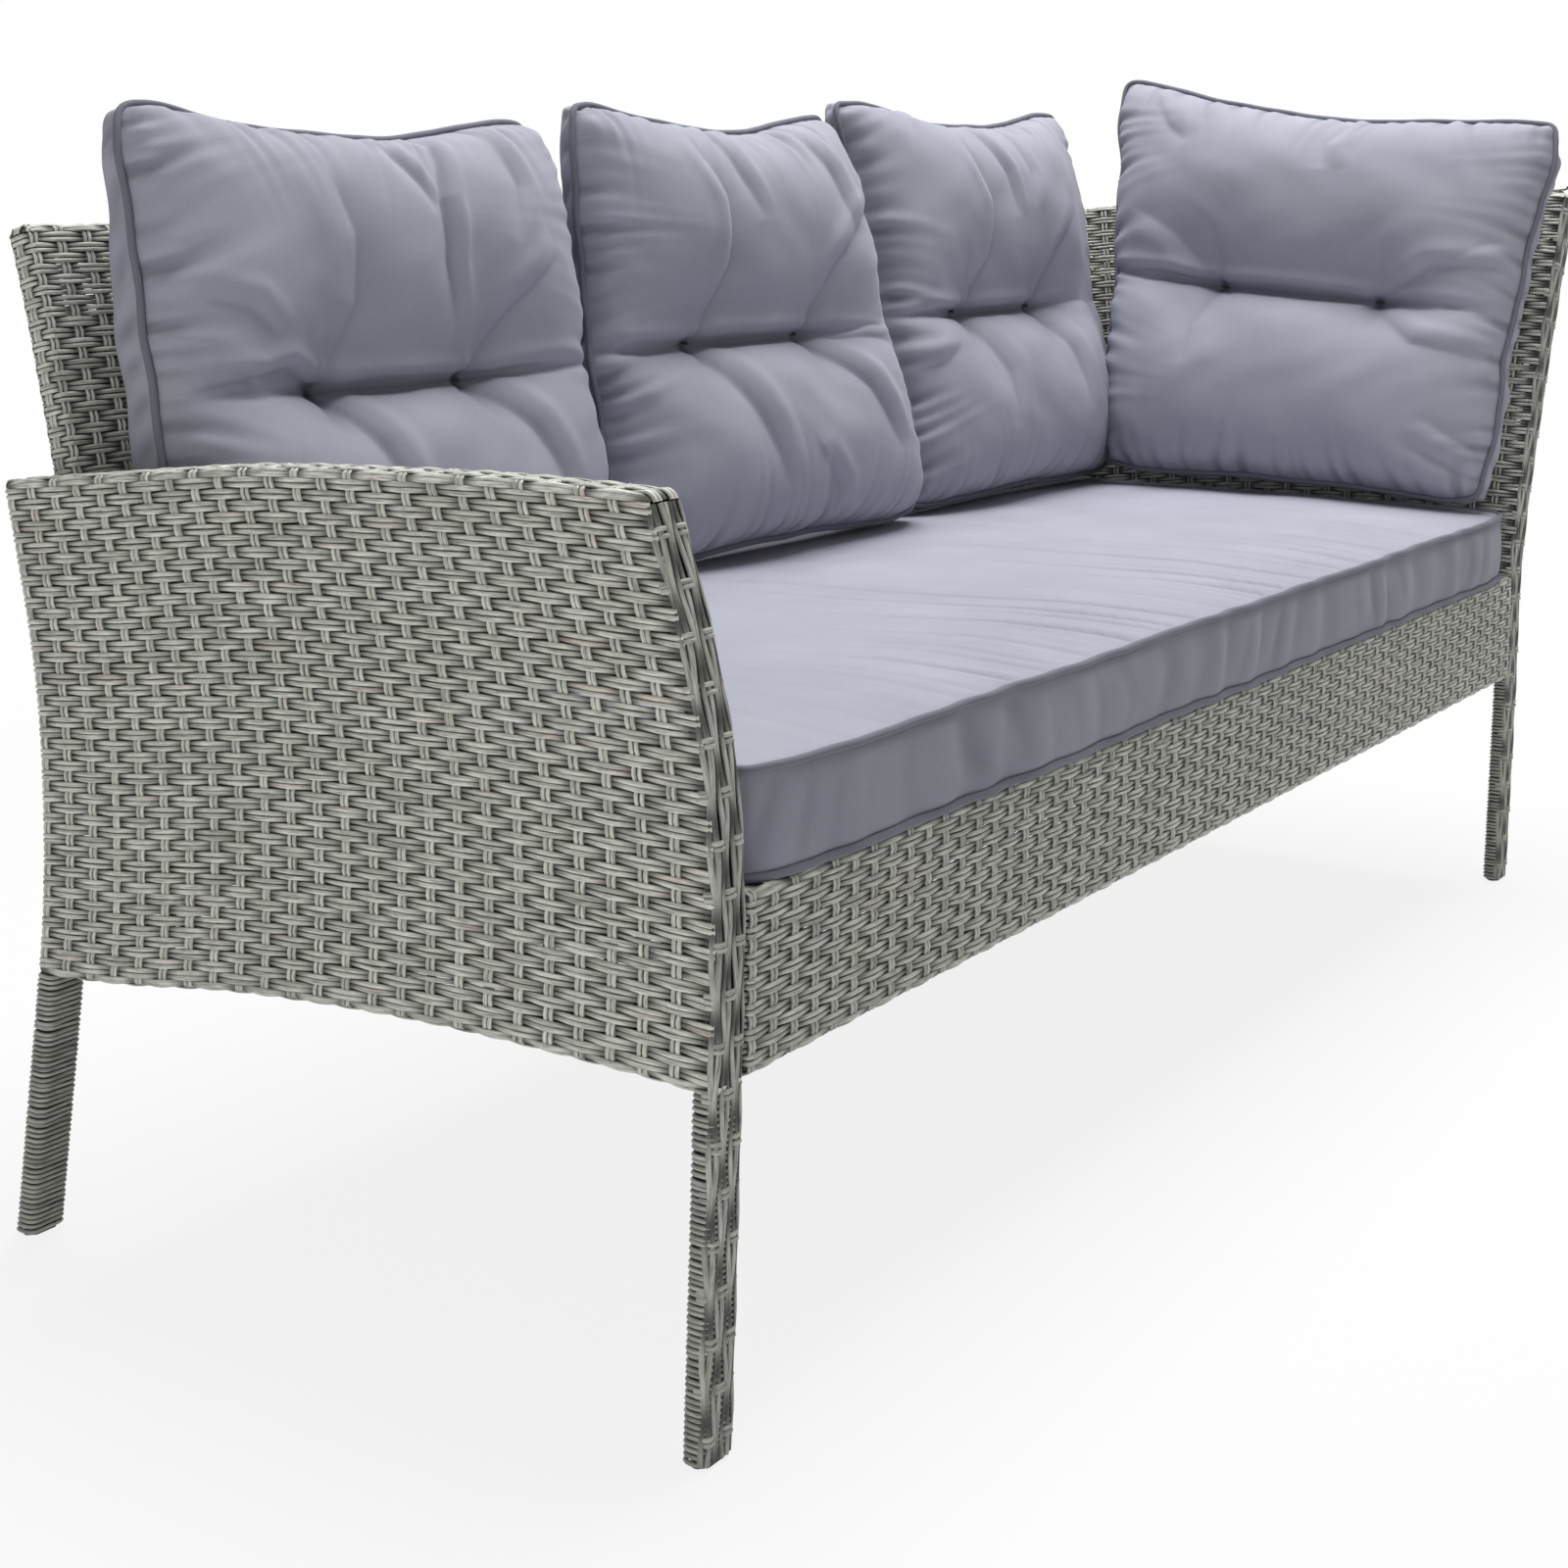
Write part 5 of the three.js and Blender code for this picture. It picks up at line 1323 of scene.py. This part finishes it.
def end_cushion(wide, **shaped):
    origin = (END_THICK + SEAT_LENGTH - CUSHION_BACK - CUSHION_GUSSET / 2 - END_CUSHION_OFF,
              END_CUSHION_MIDDLE,
              lowest("end_cushion") + CUSHION_GUSSET / 2 * math.sin(END_CUSHION_LEAN)
              + wide / 2 * math.sin(END_CUSHION_ROLL) * math.cos(END_CUSHION_LEAN))
    axes = turned(("Z", -math.pi / 2), ("X", -END_CUSHION_LEAN), ("Y", END_CUSHION_ROLL))
    return Tufted("end_cushion", axes, origin, wide, **shaped)


def seat_cushion():
    low, high = (np.array(corner) * 1000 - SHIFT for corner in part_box("seat_cushion"))
    deep = high[2] - low[2] - SEAT_CROWN
    axes = np.array([(1, 0, 0), (0, 0, 1), (0, -1, 0)], float)
    origin = ((low[0] + high[0]) / 2, low[1], low[2] + deep / 2)
    return Boxed("seat_cushion", axes, origin, (high[0] - low[0], high[1] - low[1], deep), BOXED_CELLS, BOXED_EASE,
                 np.linspace(-1, 1, BOXED_CELLS[1] + 1))


cushions = [
    back_cushion("back_cushion_left", middle=0.179, wide=0.315, high=466, off=10, crown=74, folds=FOLDS_LEFT,
                 tufts=(0, 0.445, 192), sides=((20, 14, 2), (0, 11, 4)), swell=0.32),
    back_cushion("back_cushion_middle", middle=0.498, wide=0.323, high=482, off=50, crown=74, folds=FOLDS_MIDDLE,
                 tufts=(-38, 0.462, 204), sides=((0, 0, 0), (0, -28, -48)), flare=-0.03, squeeze=21),
    back_cushion("back_cushion_right", middle=0.838, wide=0.327, high=506, off=20, crown=80, folds=FOLDS_RIGHT,
                 tufts=(-18, 0.46, 190), sides=((0, 8, 20), (0, 14, 10)), press=0.3),
    end_cushion(wide=0.866 * WAIST_DEPTH, high=524, crown=82, folds=FOLDS_END, tufts=(-10, 0.477, 212),
                sides=((0, 16, 34), (0, 0, 8)), flare=0.045, tilt=24),
    seat_cushion(),
]
for cushion in cushions:
    cushion.settle_setup()
for number in range(1, SETTLE_FRAMES + 1):
    bpy.context.scene.frame_set(number)
for cushion in cushions:
    cushion.settle_result()
    cushion.finish()
bpy.context.scene.frame_set(1)

# Stage, light and camera
FLOOR_REACH = 30.0
FLOOR_DROP = 0.0005
FLOOR_WHITE = 0.85  # how much of the floor is plain white near the sofa; further off it is all of it
WORLD_LIGHT = 0.185
PHOTO_PIXELS = 1600
SENSOR = 36


def stage_floor():
    corners = [(x * FLOOR_REACH, y * FLOOR_REACH, -FLOOR_DROP) for x, y in ((-1, -1), (1, -1), (1, 1), (-1, 1))]
    mesh = bpy.data.meshes.new("floor")
    mesh.from_pydata(corners, [], [(0, 1, 2, 3)])
    shade = Shading(bpy.data.materials.new("floor"))
    shade.surface({"Base Color": (0.86, 0.86, 0.86, 1), "Roughness": 0.9, "Specular IOR Level": 0.1})
    white = shade.node("Emission", {"Strength": 1.0})
    off = shade.node("VectorMath", {0: shade.place()}, operation="LENGTH").outputs["Value"]
    share = shade.node("MapRange", {"Value": off, "From Min": 1.1, "From Max": 2.6, "To Min": FLOOR_WHITE,
                                    "To Max": 1.0}, interpolation_type="SMOOTHSTEP").outputs["Result"]
    shade.blend(shade.maths("MULTIPLY", share, shade.seen()), shade.nodes["Principled BSDF"], white, "Material Output")
    mesh.materials.append(shade.owner)
    linked("floor", mesh)


def area_light(name, place, target, size, power):
    light = bpy.data.lights.new(name, "AREA")
    light.shape, light.size, light.energy = "SQUARE", size, power
    lamp = linked(name, light)
    lamp.location = place
    lamp.rotation_euler = (Vector(target) - Vector(place)).to_track_quat("-Z", "Y").to_euler()


def camera_at(focal, centre_x, centre_y, pitch, roll, yaw, place):
    """A camera from the fit to the photo: focal and centre in pixels of the photo, angles in degrees."""
    pitch, roll, yaw = (math.radians(a) for a in (pitch, roll, yaw))
    ahead = Vector((math.cos(yaw) * math.cos(pitch), math.sin(yaw) * math.cos(pitch), -math.sin(pitch)))
    level = Vector((math.sin(yaw), -math.cos(yaw), 0))
    up = level.cross(ahead)
    right = level * math.cos(roll) + up * math.sin(roll)
    above = -level * math.sin(roll) + up * math.cos(roll)
    data = bpy.data.cameras.new("camera")
    data.sensor_width = SENSOR
    data.lens = SENSOR * focal / PHOTO_PIXELS
    data.shift_x = (PHOTO_PIXELS / 2 - centre_x) / PHOTO_PIXELS
    data.shift_y = (centre_y - PHOTO_PIXELS / 2) / PHOTO_PIXELS
    data.clip_end = 100
    camera = linked("camera", data)
    turn = Matrix((right, above, -ahead)).transposed().to_4x4()
    camera.matrix_world = Matrix.Translation(Vector(to_scene(np.array(place) * 1000))) @ turn
    bpy.context.scene.camera = camera


stage_floor()
area_light("top", place=(0.75, 0.1, 4.2), target=(0.2, 0, 0.4), size=2.8, power=206)
area_light("side", place=(-2.8, -0.6, 0.42), target=(-0.95, 0, 0.38), size=1.4, power=12.5)

bpy.context.scene.world = bpy.data.worlds.new("studio")
sky = Shading(bpy.context.scene.world)
sky_light = sky.nodes["Background"]
sky_light.inputs["Color"].default_value = (1, 1, 1, 1)
sky_light.inputs["Strength"].default_value = WORLD_LIGHT
sky_seen = sky.node("Background", {"Color": (1, 1, 1, 1), "Strength": 1.0})
sky.blend(sky.seen(), sky_light, sky_seen, "World Output")

bpy.context.scene.view_settings.view_transform = "Standard"
camera_at(focal=2565, centre_x=767.4, centre_y=400, pitch=4.67, roll=0.66, yaw=33.19,
          place=(-1.3413, -0.9033, 0.8603))
